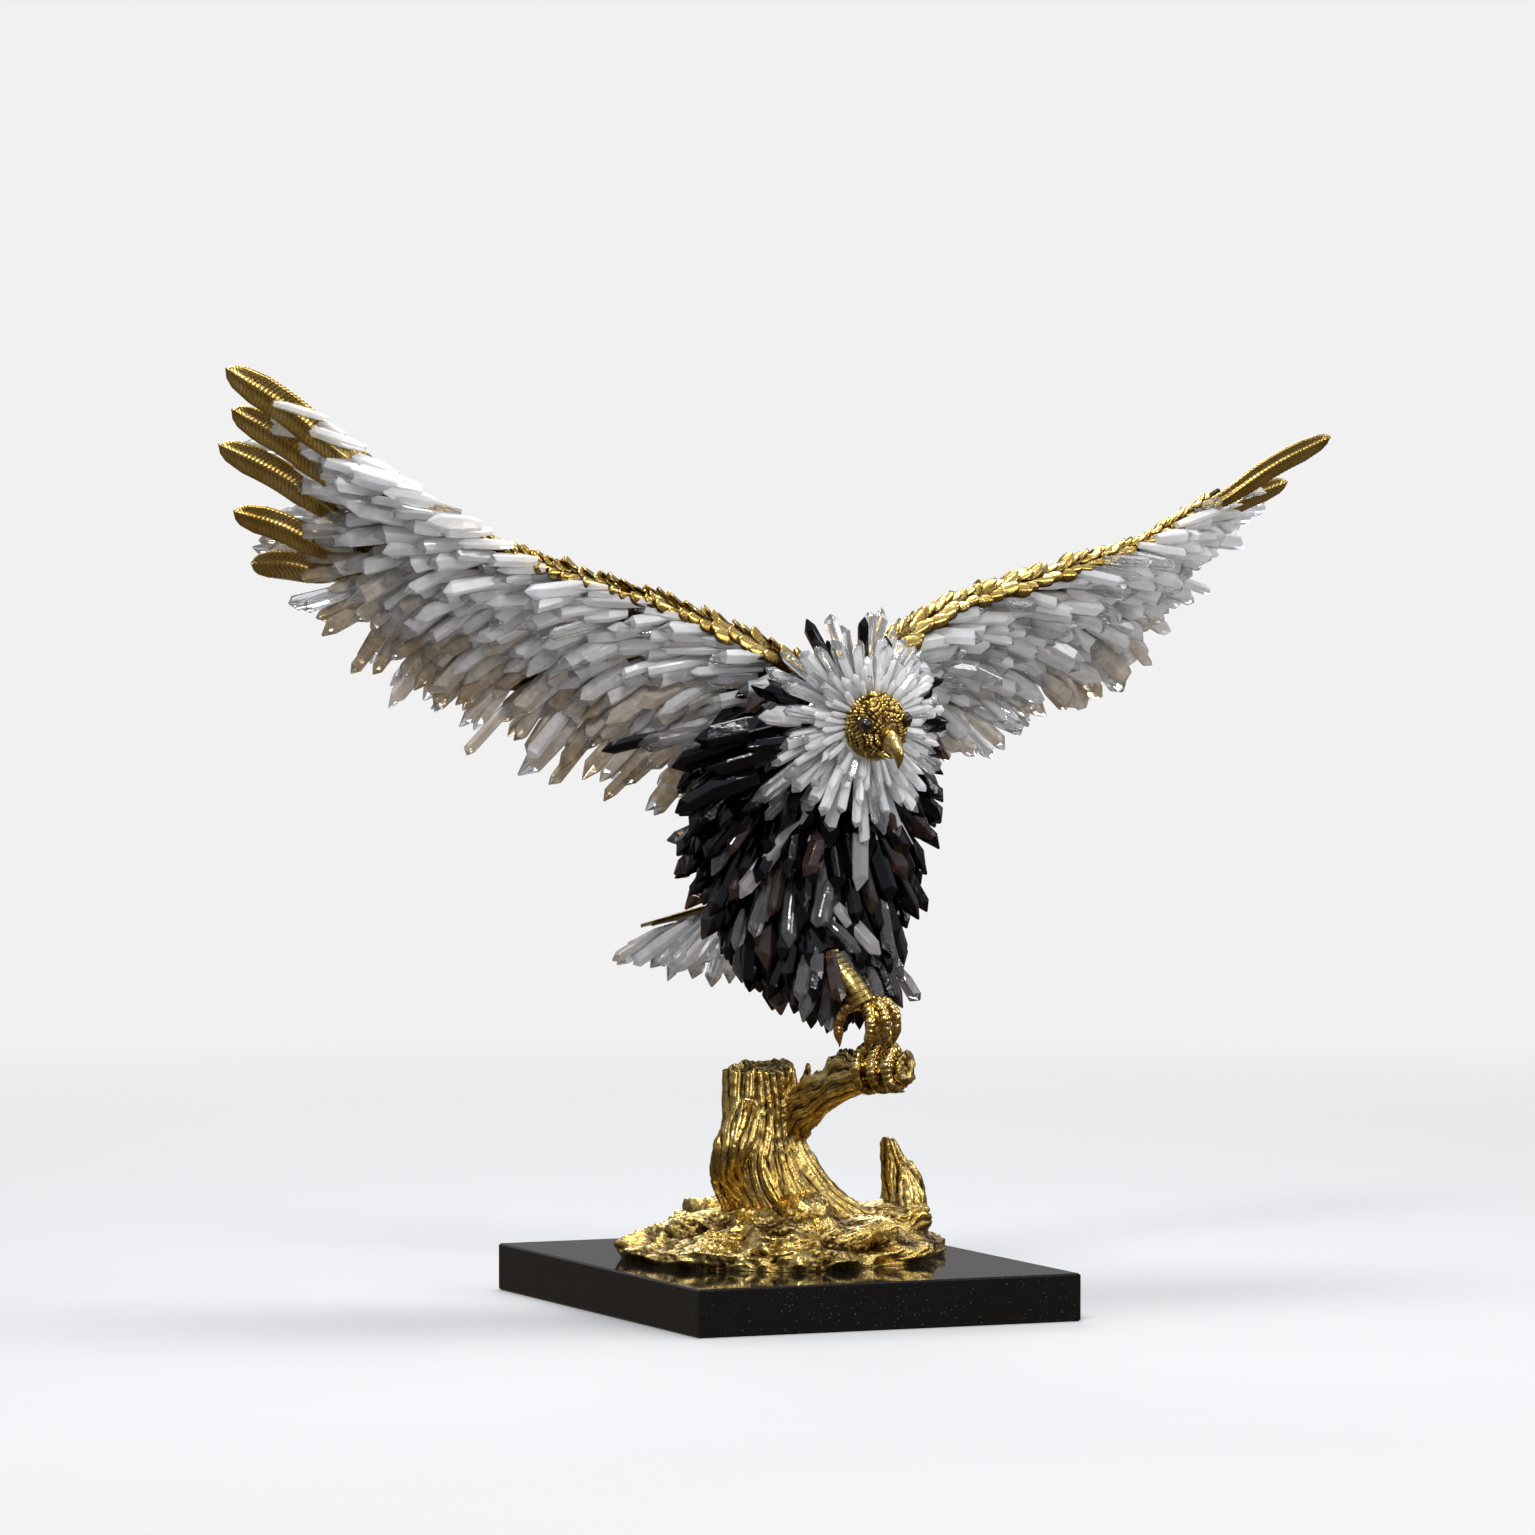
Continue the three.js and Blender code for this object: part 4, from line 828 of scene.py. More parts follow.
def add_edge_scales(wing, shape):
    """Small leaf feathers in lanes round the leading edge."""
    rng = np.random.default_rng(57 + wing.side)
    count = round(wing.length * 1.1 / SCALE_PITCH)
    for lane, angle in enumerate(SCALE_LANES[wing.name]):
        slant = 0.22 if lane % 2 else -0.22
        for i in range(count):
            at = -0.1 + 1.06 * (i + 0.5 * (lane % 2)) / count
            out, back, top = wing.frame(at)
            turn = math.radians(angle + rng.uniform(-13, 13))
            normal = -back * math.cos(turn) + top * math.sin(turn)
            round_edge = back * math.sin(turn) + top * math.cos(turn)
            size = np.interp(at, WING_ROLL_AT, (1.15, 0.95, 0.6, 0.5)) * rng.uniform(0.8, 1.2)
            radius = np.interp(at, WING_ROLL_AT, WING_ROLL)
            root = wing.point(at, 0.03, 1) + normal * (radius - 0.4)
            along = out + round_edge * (slant + rng.uniform(-0.2, 0.2)) + normal * rng.uniform(0.14, 0.4)
            length, width = SCALE_SIZE[0] * size, SCALE_SIZE[1] * size
            add_feather(
                shape, root, along, normal, length, width,
                thick=1.6, rows=16, columns=7, barb=0.5, barb_pitch=2.7 * size, cup=0.3,
            )


def add_coverts(wing, shape):
    """Rows of covering feathers on the wing's back."""
    for row, (first, last, count) in enumerate(COVERT_ROWS):
        for i in range(count):
            at = -0.06 + 1.02 * (i + 0.5 * (row % 2)) / count
            _, _, top = wing.frame(at)
            root = wing.point(at, first, WING_SKIN - 0.5)
            tip = wing.point(at + 0.045, last, WING_SKIN + 2.6)
            width = wing.length * 1.45 / count
            add_feather(
                shape, root, tip - root, top, np.linalg.norm(tip - root), width,
                thick=1.9, rows=21, columns=6, barb=0.45, barb_pitch=3.1, cup=0.16,
            )


def add_primaries(wing, shape):
    """The long feathers at the hand."""
    for i, (t, x, y, z) in enumerate(PRIMARIES):
        root = wing.point(0.9, t, WING_SKIN / 2)
        tip = BIRD + (wing.side * x, y, z + math.copysign(PRIMARY_LIFT, wing.lift))
        length = np.linalg.norm(tip - root) * PRIMARY_SHARES[wing.name][i]
        width = (PRIMARY_WIDTH - i) * PRIMARY_SLIMNESS[wing.name]
        add_feather(
            shape, root, tip - root, np.array([0, 1, 0.25]), length, width,
            thick=PRIMARY_THICK, rows=max(40, int(length / 0.8)), columns=13, barb=0.8,
            barb_pitch=4.0, cup=0.1, bend=-5 * wing.side, outline=BLADE, kind=1,
        )


def wing_casting(wing):
    """The gilt of a wing."""
    shape = Shape()
    for add in (add_wing_plate, add_edge_scales, add_coverts, add_primaries):
        add(wing, shape)
    return shape


def torso_at(height):
    """The torso's place back, half width and half depth at a height."""
    return np.array([np.interp(height, TORSO[:, 0], TORSO[:, k]) for k in (1, 2, 3)])


def from_middle(across, down):
    """How far a pixel of the photograph is to the right of its middle and above it, in millimetres."""
    return (across - PHOTO_PIXELS / 2) * PIXEL, -(down - PHOTO_PIXELS / 2) * PIXEL


def seen_at(across, down, back):
    """The place that a pixel of the photograph shows, so far back on the slab."""
    u, v = from_middle(across, down)
    deep = back - LOOK_AT[1]
    x = (u + deep * math.sin(CAMERA_TURN)) / math.cos(CAMERA_TURN)
    ahead = x * math.sin(CAMERA_TURN) + deep * math.cos(CAMERA_TURN)
    z = (v - ahead * math.sin(CAMERA_RISE)) / math.cos(CAMERA_RISE)
    return LOOK_AT + (x, deep, z - SLAB_HEIGHT)


def seen_places(root, tip):
    """The places of a point's root and tip, each given as a pixel and a place back."""
    return seen_at(*root), seen_at(*tip)


def breast_place(pixel, proud):
    """The place on the torso's front that a pixel of the photograph shows, moved out by `proud`."""
    u, v = from_middle(*pixel)
    height = LOOK_AT[2] - SLAB_HEIGHT + v
    y, half_width, half_depth = torso_at(height)
    size = np.array([half_width, half_depth]) + proud
    start = (LOOK_AT[:2] + CAMERA_RIGHT[:2] * u - BIRD[:2] - (0, y)) / size
    step = CAMERA_LEVEL[:2] / size
    a, b, c = step @ step, start @ step, start @ start - 1
    reach = (-b - math.sqrt(max(b * b - a * c, 0.0))) / a
    return np.append((start + step * reach) * size + BIRD[:2] + (0, y), height)


def breast_places(root, tip):
    """The places of a breast point's root and tip, each given as a pixel."""
    return breast_place(root, BREAST_ROOT_PROUD), breast_place(tip, BREAST_TIP_PROUD)


def add_body_bed(shape):
    """The torso and thighs that the points are set in."""
    turn = turns(28)
    rings = []
    for height in np.linspace(TORSO[0, 0], TORSO[-1, 0], 24):
        y, half_width, half_depth = torso_at(height)
        ring = np.stack([np.cos(turn) * half_width, y + np.sin(turn) * half_depth, np.full(28, height)], -1)
        rings.append(BIRD + ring)
    shape.add_grid(np.array(rings))
    for path in THIGHS.values():
        shape.add_grid(sweep([BIRD + p for p in path], tapered(THIGH_RADIUS), 8, 16))


def add_torso_points(shape, rng):
    """Mostly smoky points in rows round the torso, which stand off more towards the shoulders."""
    for row, height in enumerate(np.linspace(*BODY_QUARTZ_HEIGHTS, BODY_QUARTZ_ROWS)):
        y, half_width, half_depth = torso_at(height)
        spread = np.interp(height, *BODY_SPREAD)
        count = round(math.pi * (half_width + half_depth) / BODY_QUARTZ_PITCH)
        for i in range(count):
            at = 2 * math.pi * (i + rng.uniform(-0.3, 0.3) + 0.5 * (row % 2)) / count
            root = BIRD + (math.cos(at) * (half_width - 9), y + math.sin(at) * (half_depth - 8), height)
            out = rng.uniform(0.7, 1.25)
            inward = 0.35 * smooth_step(340, 260, height) * max(0.0, -math.cos(at))
            fore = 0.42 + 0.7 * smooth_step(425, 490, height) * (math.sin(at) > 0)
            along = np.array([math.cos(at) * spread * out + inward, math.sin(at) * fore * out, -1])
            along = along + rng.uniform(-0.1, 0.1, 3)
            length = rng.uniform(*BODY_QUARTZ_LENGTH) * np.interp(height, *BODY_LENGTHS)
            front = max(0.0, -math.sin(at))
            pick = rng.uniform()
            kind = 2 if pick > 0.86 else 3 if pick < 0.05 + 0.08 * front else 0
            radius = rng.uniform(*BODY_QUARTZ_RADIUS)
            add_crystal(shape, root, along, length, radius, 7000 + row * 100 + i, kind)


def add_thigh_points(shape, rng):
    """Four rows of smaller points round each thigh."""
    for k, path in enumerate(THIGHS.values()):
        line = Spline([BIRD + p for p in path])
        for row in range(4):
            share = 0.25 + 0.25 * row
            centre, ahead = line.at(share), line.tangent(share)
            u, v = square_to(ahead)
            radius = np.interp(share, (0, 1), THIGH_RADIUS)
            for i in range(THIGH_QUARTZ_PER_ROW):
                step = i + 0.5 * (row % 2) + rng.uniform(-0.2, 0.2)
                at = 2 * math.pi * step / THIGH_QUARTZ_PER_ROW
                outward = u * math.cos(at) + v * math.sin(at)
                root = centre + outward * (radius - 7)
                along = outward * 0.55 + ahead * 0.35 + np.array([0, 0, -1.1]) + rng.uniform(-0.1, 0.1, 3)
                kind = rng.choice([0, 2, 3], p=[0.76, 0.14, 0.1])
                length, thick = rng.uniform(*THIGH_QUARTZ_LENGTH), rng.uniform(*THIGH_QUARTZ_RADIUS)
                add_crystal(shape, root, along, length, thick, 9500 + k * 300 + row * 20 + i, kind)


def body_quartz():
    """Points all over the torso and thighs, mostly smoky, with clear and brown ones on the breast."""
    shape = Shape()
    rng = np.random.default_rng(71)
    add_body_bed(shape)
    add_torso_points(shape, rng)
    add_crystals_between(shape, breast_places, BREAST_POINTS, 6100, sharp=0.65)
    add_crystals_between(shape, seen_places, SHOULDER_POINTS, 6200)
    add_thigh_points(shape, rng)
    return shape


class Head:
    """The head's own axes: ahead, to its left, and up."""

    def __init__(self):
        self.ahead = unit(HEAD_FACING)
        up, side = square_to(self.ahead)
        roll = Matrix.Rotation(HEAD_ROLL, 3, Vector(self.ahead))
        self.up = np.array(roll @ Vector(up))
        self.left = np.array(roll @ Vector(-side))

    def point(self, x, y, z):
        """A place given to the head's left, ahead and up."""
        x, y, z = np.broadcast_arrays(*(np.asarray(v, float)[..., None] for v in (x, y, z)))
        return HEAD_PLACE + self.left * x + self.ahead * y + self.up * z


def skull(head, shape):
    """A round skull under small chased tufts that run back from the beak."""
    rows, sides = 190, 320
    slope = np.linspace(0.02, 1, rows)[:, None] * math.pi * 0.995
    turn = turns(sides)[None, :]
    half_width, half_length, half_height = HEAD_HALF
    back = np.cos(slope) > 0
    y = -np.cos(slope) * half_length * np.where(back, 0.7, 0.94)
    over_eye = np.exp(-(((np.abs(np.cos(turn)) - 0.58) / 0.22) ** 2))
    brow = 3.4 * over_eye * np.exp(-((slope - 2.3) ** 2) / 0.06)
    brow = brow * (np.sin(turn) > 0.1) * np.clip(np.sin(turn) * 2, 0, 1)
    cheek = 2.2 * np.exp(-(((np.sin(turn) + 0.45) / 0.3) ** 2)) * np.exp(-((slope - 2.35) ** 2) / 0.08)
    brow = brow + cheek * (np.abs(np.cos(turn)) > 0.3)
    r = np.sin(slope)
    plain = head.point(r * np.cos(turn) * half_width, y, r * np.sin(turn) * half_height)
    wander = noise(plain, 7.0, 3) - 0.5
    fine = noise(plain, 2.6, 6) - 0.5
    along = (math.pi - slope) * TUFT_ROWS + wander * 1.6
    row = np.floor(along)
    p = along - row
    count = np.clip(np.round(8 + 42 * np.sin(np.clip((row + 0.5) / TUFT_ROWS, 0, math.pi))), 8, 50)
    around = turn / (2 * math.pi) * count + 0.5 * (row % 2) + wander * 2.2
    q = (around - np.floor(around)) * 2 - 1
    cell = np.stack(np.broadcast_arrays(row, np.floor(around), 0 * row), -1)
    own = lattice(cell, 5)
    tuft = smooth_step(0, 0.9, p) * (1 - smooth_step(0.8, 1, p)) * (1 - np.abs(q) ** 2.4)
    lines = 0.5 + 0.5 * np.cos(2 * math.pi * q + own * 6)
    height = tuft * (0.5 + 1.1 * own) + 0.6 * lines * tuft + 0.5 * fine
    face = smooth_step(2.9, 2.7, slope)
    height = height * face
    x = np.cos(turn) * (r * half_width + brow + height * 1.3 - 0.6)
    z = np.sin(turn) * (r * half_height + brow + height * 1.3 - 0.6)
    y = y - np.cos(slope) * height * 0.9
    relief = np.clip(1.05 * height - 0.1 + 0.5 * (1 - face), 0, 1)
    shape.add_grid(head.point(x, y, z), relief=relief)


def beak(head, shape):
    """A smooth hooked beak with a ridge, nostrils and a lower half."""
    start = HEAD_HALF[1] * 0.6
    upper = [
        head.point(0, start, -7),
        head.point(0, start + BEAK_LENGTH * 0.42, -6),
        head.point(0, start + BEAK_LENGTH * 0.82, -BEAK_DROP * 0.55),
        head.point(0, start + BEAK_LENGTH * 0.88, -BEAK_DROP * 1.12),
    ]
    size = steps([BEAK_ROOT * share for share in (1.12, 1.12, 1.06, 0.92, 0.72, 0.46, 0.05)])

    def radius(share, turn):
        ridge = 0.1 * np.exp(-((np.mod(turn + math.pi, 2 * math.pi) - math.pi) ** 2) / 0.12)
        cere = 0.09 * smooth_step(0.46, 0.4, share) * (0.5 + 0.5 * np.cos(turn))
        nostril = 0.0
        for side in (0.33 * math.pi, 1.67 * math.pi):
            nostril = nostril + np.exp(-(((share - 0.4) / 0.035) ** 2) - ((turn - side) / 0.16) ** 2)
        return size(share) * (1 + ridge + cere - 0.16 * nostril)

    points = sweep(upper, radius, 60, 36, up=head.up, flat=(1, 0.78))
    stain = noise(points, 3.5, 5)
    shape.add_grid(points, relief=np.clip(0.25 + stain, 0, 1))
    lower = [
        head.point(0, start, -15),
        head.point(0, start + BEAK_LENGTH * 0.34, -17.5),
        head.point(0, start + BEAK_LENGTH * 0.52, -18.5),
    ]
    low_radius = tapered([BEAK_ROOT * share for share in (1.0, 0.86, 0.62, 0.15)])
    shape.add_grid(sweep(lower, low_radius, 24, 24, up=head.up, flat=(0.55, 1)), relief=0.8)


def eye_place(head, side):
    """The middle of an eye on the skull, to the left for side 1 and to the right for side -1."""
    return head.point(
        side * math.sin(EYE_ANGLE) * HEAD_HALF[0] * 1.02,
        math.cos(EYE_ANGLE) * HEAD_HALF[1] * 0.94 * 1.02,
        EYE_HEIGHT,
    )


def add_ball(shape, centre, radius, rows=20, sides=28):
    """A ball with its poles up and down."""
    slope = np.linspace(0.01, math.pi - 0.01, rows)[:, None]
    turn = turns(sides)[None, :]
    r = np.sin(slope) * radius
    ball = [r * np.cos(turn), r * np.sin(turn), np.cos(slope) * radius + 0 * turn]
    shape.add_grid(centre + np.stack(ball, -1))


def eyelid(head, shape, side):
    """A thin cast ring round an eye."""
    centre = eye_place(head, side)
    outward = unit(centre - HEAD_PLACE)
    u, v = square_to(outward, head.up)
    turn = np.linspace(0, 2 * math.pi, 25)[:-1]
    tube = turns(10)
    ring = u * np.cos(turn)[:, None] + v * np.sin(turn)[:, None]
    middle = centre + outward * 1.2 + ring * (EYE_RADIUS + 0.7)
    points = middle[:, None] + ring[:, None] * (np.cos(tube) * EYELID_RADIUS)[None, :, None]
    points = points + outward * (np.sin(tube) * EYELID_RADIUS)[None, :, None]
    # The ring is painted nearly as dark as a groove, painted shade of the socket round the eye.
    shape.add_grid(np.concatenate([points, points[:1]]), ends=False, relief=0.1)


def ruff(head):
    """Clear and milky points that stand round the head like the rays of a sunflower."""
    shape = Shape()
    rng = np.random.default_rng(91)
    front = head.point(0, -4, 0)
    core = [NECK_ROOT, (NECK_ROOT + front) / 2, front]
    radii = (NECK_ROOT_RADIUS - 1, NECK_FRONT_RADIUS - 3)
    shape.add_grid(sweep(core, tapered(radii), 12, 32))
    for layer, (behind, lean, length, count, thin, thick) in enumerate(RUFF_LAYERS):
        for i in range(count):
            turn = 2 * math.pi * (i + 0.5 * (layer % 2) + rng.uniform(-0.3, 0.3)) / count
            ray = head.left * math.cos(turn) + head.up * math.sin(turn)
            low, high = max(0.0, -math.sin(turn)), max(0.0, math.sin(turn))
            start = HEAD_PLACE - head.ahead * behind + ray * (NECK_FRONT_RADIUS - 9)
            along = ray + head.ahead * (0.42 * low - lean) + rng.uniform(-0.13, 0.13, 3)
            full = length * (1 + 0.3 * low - 0.14 * high) * rng.uniform(0.78, 1.16)
            radius = rng.uniform(thin, thick) * (1 + 0.15 * low)
            pick = rng.uniform()
            kind = 2 if layer > 3 and pick < 0.12 else 1 if pick > 0.84 - 0.1 * layer else 0
            clear_tip = 1 if kind == 0 and layer > 1 and rng.uniform() < 0.8 else None
            add_crystal(shape, start, along, full, radius, 8000 + layer * 100 + i, kind, clear_tip, 0.75)
    return shape


def tail_point(t, w, rise=0.0):
    """The tail's surface: t runs from root to tip, w from -1 to 1 across, and rise is upwards."""
    t, w, rise = np.broadcast_arrays(np.asarray(t, float), w, rise)
    centre = np.array(TAIL_ROOT) + (np.array(TAIL_TIP) - TAIL_ROOT) * t[..., None]
    half = np.interp(t, (0, 1), TAIL_HALF)
    side = np.stack([w * half, -12 * w * w * t, rise - 5 * w * w], -1)
    return BIRD + centre + side


def tail_casting():
    """Long overlapping feathers over a thin plate, with short ones over their roots."""
    shape = Shape()
    t = np.linspace(0, 0.86, 30)[:, None]
    w = np.linspace(-0.95, 0.95, 14)[None, :]
    over, under = tail_point(t, w, 3.0), tail_point(t, w, 0.3)
    shape.add_grid(np.concatenate([over, under[:, ::-1]], axis=1), relief=0.35)
    order = sorted(range(TAIL_FEATHERS), key=lambda i: -abs(i - (TAIL_FEATHERS - 1) / 2))
    for level, i in enumerate(order):
        w = -0.86 + 1.72 * i / (TAIL_FEATHERS - 1)
        root = tail_point(0.0, w * 0.7, 3.2 + 0.25 * level)
        tip = tail_point(0.98, w, 3.6 + 0.35 * level)
        length = np.linalg.norm(tip - root)
        add_feather(
            shape, root, tip - root, UP, length, 19.5, thick=2.0, rows=int(length / 1.1), columns=9,
            barb=0.5, barb_pitch=3.3, cup=0.14, outline=BLADE,
        )
    for row, (first, last, count) in enumerate(((0.0, 0.2, 5), (0.12, 0.34, 6))):
        for i in range(count):
            w = -0.8 + 1.6 * i / (count - 1)
            root, tip = tail_point(first, w * 0.9, 6.2 - row), tail_point(last, w, 8.0 - row)
            length = np.linalg.norm(tip - root)
            add_feather(
                shape, root, tip - root, UP, length, 16, thick=1.5, rows=24, columns=7, barb=0.4,
                barb_pitch=3.0, cup=0.16,
            )
    return shape


def tail_quartz():
    """Rows of points under the tail, and a bunch that hangs below its root."""
    shape = Shape()
    rng = np.random.default_rng(17)
    for row, (t, count) in enumerate(TAIL_QUARTZ_ROWS):
        drop = np.interp(t, (0.0, 0.4, 0.8), (1.0, 0.75, 0.36))
        for i in range(count):
            w = -0.9 + 1.8 * (i + rng.uniform(-0.2, 0.2)) / (count - 1)
            root = tail_point(t, w, -6)
            along = np.array([0.55 * w, 0.74, -drop]) + rng.uniform(-0.08, 0.08, 3)
            kind = rng.choice([0, 1, 2, 3, 4], p=[0.2, 0.3, 0.28, 0.12, 0.1])
            length, radius = rng.uniform(*TAIL_QUARTZ_LENGTH), rng.uniform(*TAIL_QUARTZ_RADIUS)
            add_crystal(shape, root, along, length, radius, 9000 + row * 100 + i, kind)
    add_crystals_between(shape, seen_places, TAIL_HANGING, 6400, tip_kind=1)
    return shape


def scuted(values, pitch, length, depth):
    """A radius with rings of scutes across the front, which is where the turn is 0."""
    size = steps(values)

    def radius(share, turn):
        ring = np.abs(np.sin(math.pi * share * length / pitch + 0.5 * np.sin(2 * turn + 7 * share)))
        front = 0.6 + 0.4 * np.cos(turn)
        claw = smooth_step(0.72, 0.66, share)
        return size(share) * (1 + depth * (ring - 0.5) * front * claw)

    return radius


def add_toe(shape, path, size):
    """A toe with knuckles, scutes and a claw."""
    rows, length = 72, Spline(path).length()
    values = [TOE_RADIUS * size * k for k in (1.0, 0.82, 1.0, 0.78, 0.98, 0.76, 0.84, 0.5, 0.04)]
    points = sweep(path, scuted(values, TOE_SCUTE, length, 0.14), rows, 20)
    share = np.linspace(0, 1, rows)[:, None]
    ring = np.abs(np.sin(math.pi * share * length / TOE_SCUTE)) ** 0.6 + 0 * points[..., 0]
    rough = noise(points, 2.2, 8) - 0.5
    points = points + (noise(points, 3.0, 5) - 0.5)[..., None] * 0.8
    relief = np.clip(np.where(share > 0.82, 0.8, 0.15 + 0.85 * ring) + 0.7 * rough, 0, 1)
    shape.add_grid(points, relief=relief)


def add_leg(shape, path):
    """A leg with rings of scutes."""
    rows, length = 90, Spline(path).length()
    values = [LEG_RADIUS * share for share in (1.15, 1.05, 0.98, 0.96, 1.02, 1.1)]
    points = sweep(path, scuted(values, LEG_SCUTE, length, 0.05), rows, 36)
    share = np.linspace(0, 1, rows)[:, None]
    ring = np.abs(np.sin(math.pi * share * length / LEG_SCUTE)) + 0 * points[..., 0]
    rough = noise(points, 4.0, 8)
    shape.add_grid(points, relief=np.clip(0.1 + 0.8 * ring + 0.3 * (rough - 0.5), 0, 1))


def right_leg():
    """The raised leg, whose toes hang half open."""
    shape = Shape()
    add_leg(shape, RIGHT_LEG)
    for path in RIGHT_TOES:
        add_toe(shape, path, RIGHT_TOE_SIZE)
    return shape


def left_leg():
    """Three toes fold over the near side of the branch and one over the far side."""
    shape = Shape()
    add_leg(shape, LEFT_LEG)
    line = Spline(BRANCH)
    length = line.length()
    reach = BRANCH_RADIUS + TOE_RADIUS * 0.75
    for offset, side in ((-LEFT_TOE_SPACING, 1), (0, 1), (LEFT_TOE_SPACING, 1), (-2, -1)):
        u = np.interp(LEFT_TOE_SHARE + offset / length, np.linspace(0, 1, 200), line.even(200))
        centre, axis = line.at(u), line.tangent(u)
        up, across = square_to(axis)

        def at(degrees, r):
            a = math.radians(degrees)
            return centre + across * side * math.cos(a) * r + up * math.sin(a) * r

        path = [LEFT_LEG[-1], at(58, reach * 1.15), at(12, reach), at(-38, reach), at(-95, reach * 0.92)]
        add_toe(shape, path, LEFT_TOE_SIZE)
    return shape


def nearest_on(line, points, samples=120):
    """For each point, the share along a path of its nearest place, the distance and the turn round it."""
    t = line.even(samples)
    centre, tangent = line.at(t), line.tangent(t)
    side, other = carried(tangent, (1, 0, 0))
    best = np.empty(len(points), int)
    for start in range(0, len(points), 4000):
        part = points[start:start + 4000]
        best[start:start + 4000] = ((part[:, None] - centre[None]) ** 2).sum(-1).argmin(1)
    away = points - centre[best]
    turn = np.arctan2((away * other[best]).sum(-1), (away * side[best]).sum(-1))
    return best / (samples - 1), np.linalg.norm(away, axis=-1), turn


def tree_skin():
    """The mesh of trunk, branch and roots joined into one skin."""
    shape = Shape()
    for name, (path, radii) in ROOTS.items():
        size = steps(radii)
        lumps = BARK_LUMPS.get(name, PLAIN_LUMPS)

        def radius(share, turn):
            uneven = lumps * np.sin(3 * turn + 5 * share) + lumps * 0.6 * np.sin(5 * turn - 4 * share)
            return size(share) * (1 + uneven)

        shape.add_grid(sweep(path, radius, 40, 28, up=np.array([1.0, 0, 0]), even=name != "trunk"))
    made = shape.piece("tree", [GILT_BARK])
    bpy.context.view_layer.objects.active = made
    remesh = made.modifiers.new("one_skin", "REMESH")
    remesh.mode = "VOXEL"
    remesh.voxel_size = TREE_CELL * MM
    remesh.use_smooth_shade = True
    smooth = made.modifiers.new("soft_joins", "SMOOTH")
    smooth.iterations = TREE_SMOOTHING
    smooth.factor = 0.6
    mesh = bpy.data.meshes.new_from_object(made.evaluated_get(bpy.context.evaluated_depsgraph_get()))
    bpy.data.objects.remove(made)
    for name in [a.name for a in mesh.attributes if a.name in ("relief", "grain")]:
        mesh.attributes.remove(mesh.attributes[name])
    return mesh


def bark(points):
    """The height of the bark lines that flow along each part, and streaks for the material's grain."""
    count = len(points)
    height, weight = np.zeros(count), np.full(count, 1e-9)
    nearest, streaks = np.zeros(count), np.zeros((count, 3))
    wander = noise(points, (16, 16, 40), 2) - 0.5
    for k, (name, (path, radii)) in enumerate(ROOTS.items()):
        line = Spline(path)
        share, distance, turn = nearest_on(line, points)
        radius = steps(radii)(share)
        near = np.exp(-np.clip(distance / radius - 0.75, 0, 3) * 7)
        lines = BARK_LINES[name]
        twist = 13 * share if name == "knot" else 0
        bend = wander * 9 + 2.4 * np.sin(share * 7 + 3 * np.cos(turn)) + twist
        phase = turn * lines / 2 + bend
        groove = np.abs(np.sin(phase)) ** 0.6
        deep = np.abs(np.sin(phase / 3.7 + 1 + 2 * wander)) ** 0.7
        own = 0.5 * groove + 0.75 * deep
        if name in ("branch", "trunk"):
            cut = smooth_step(0.965, 0.99, share)
            own = own * (1 - cut) + cut * (0.3 + 0.9 * noise(points, 3.2, 14))
        height += near * own
        weight += near
        spun = turn + bend * 2 / lines
        around = np.maximum(radius, 6)
        along = share * line.length() * 0.09 + 90 * k
        place = np.stack([np.cos(spun) * around, np.sin(spun) * around, along], -1)
        streaks = np.where((near > nearest)[:, None], place, streaks)
        nearest = np.maximum(nearest, near)
    return height / weight + 0.35 * (noise(points, 5.0, 4) - 0.5), streaks


def tree():
    """Trunk, branch and roots in one skin, with bark lines and ragged broken ends."""
    mesh = tree_skin()
    points, normals = np.zeros(len(mesh.vertices) * 3), np.zeros(len(mesh.vertices) * 3)
    mesh.vertices.foreach_get("co", points)
    mesh.vertices.foreach_get("normal", normals)
    points = points.reshape(-1, 3) / MM - (0, 0, SLAB_HEIGHT)
    normals = normals.reshape(-1, 3)
    height, streaks = bark(points)
    top = smooth_step(158, 166, points[:, 2])
    jagged = noise(points, (13, 13, 60), 6) + 0.35 * noise(points, (5, 5, 60), 7)
    points = points + normals * ((height - 0.75) * BARK_DEPTH)[:, None]
    points[:, 2] += top * ((jagged - 0.6) * 17 - 5 * smooth_step(-34, -44, points[:, 0]))
    ragged = smooth_step(58, 96, points[:, 2]) * smooth_step(70, 84, points[:, 0])
    torn = noise(points, (7, 7, 40), 15)
    points[:, 2] += ragged * (torn - 0.6) * 22
    mesh.vertices.foreach_set("co", ((points + (0, 0, SLAB_HEIGHT)) * MM).ravel())
    store_marks(mesh, np.clip(height * 1.1 - 0.25, 0, 1), streaks)
    mesh.materials.clear()
    mesh.materials.append(GILT_BARK)
    mesh.update()
    return add_object("tree", mesh)


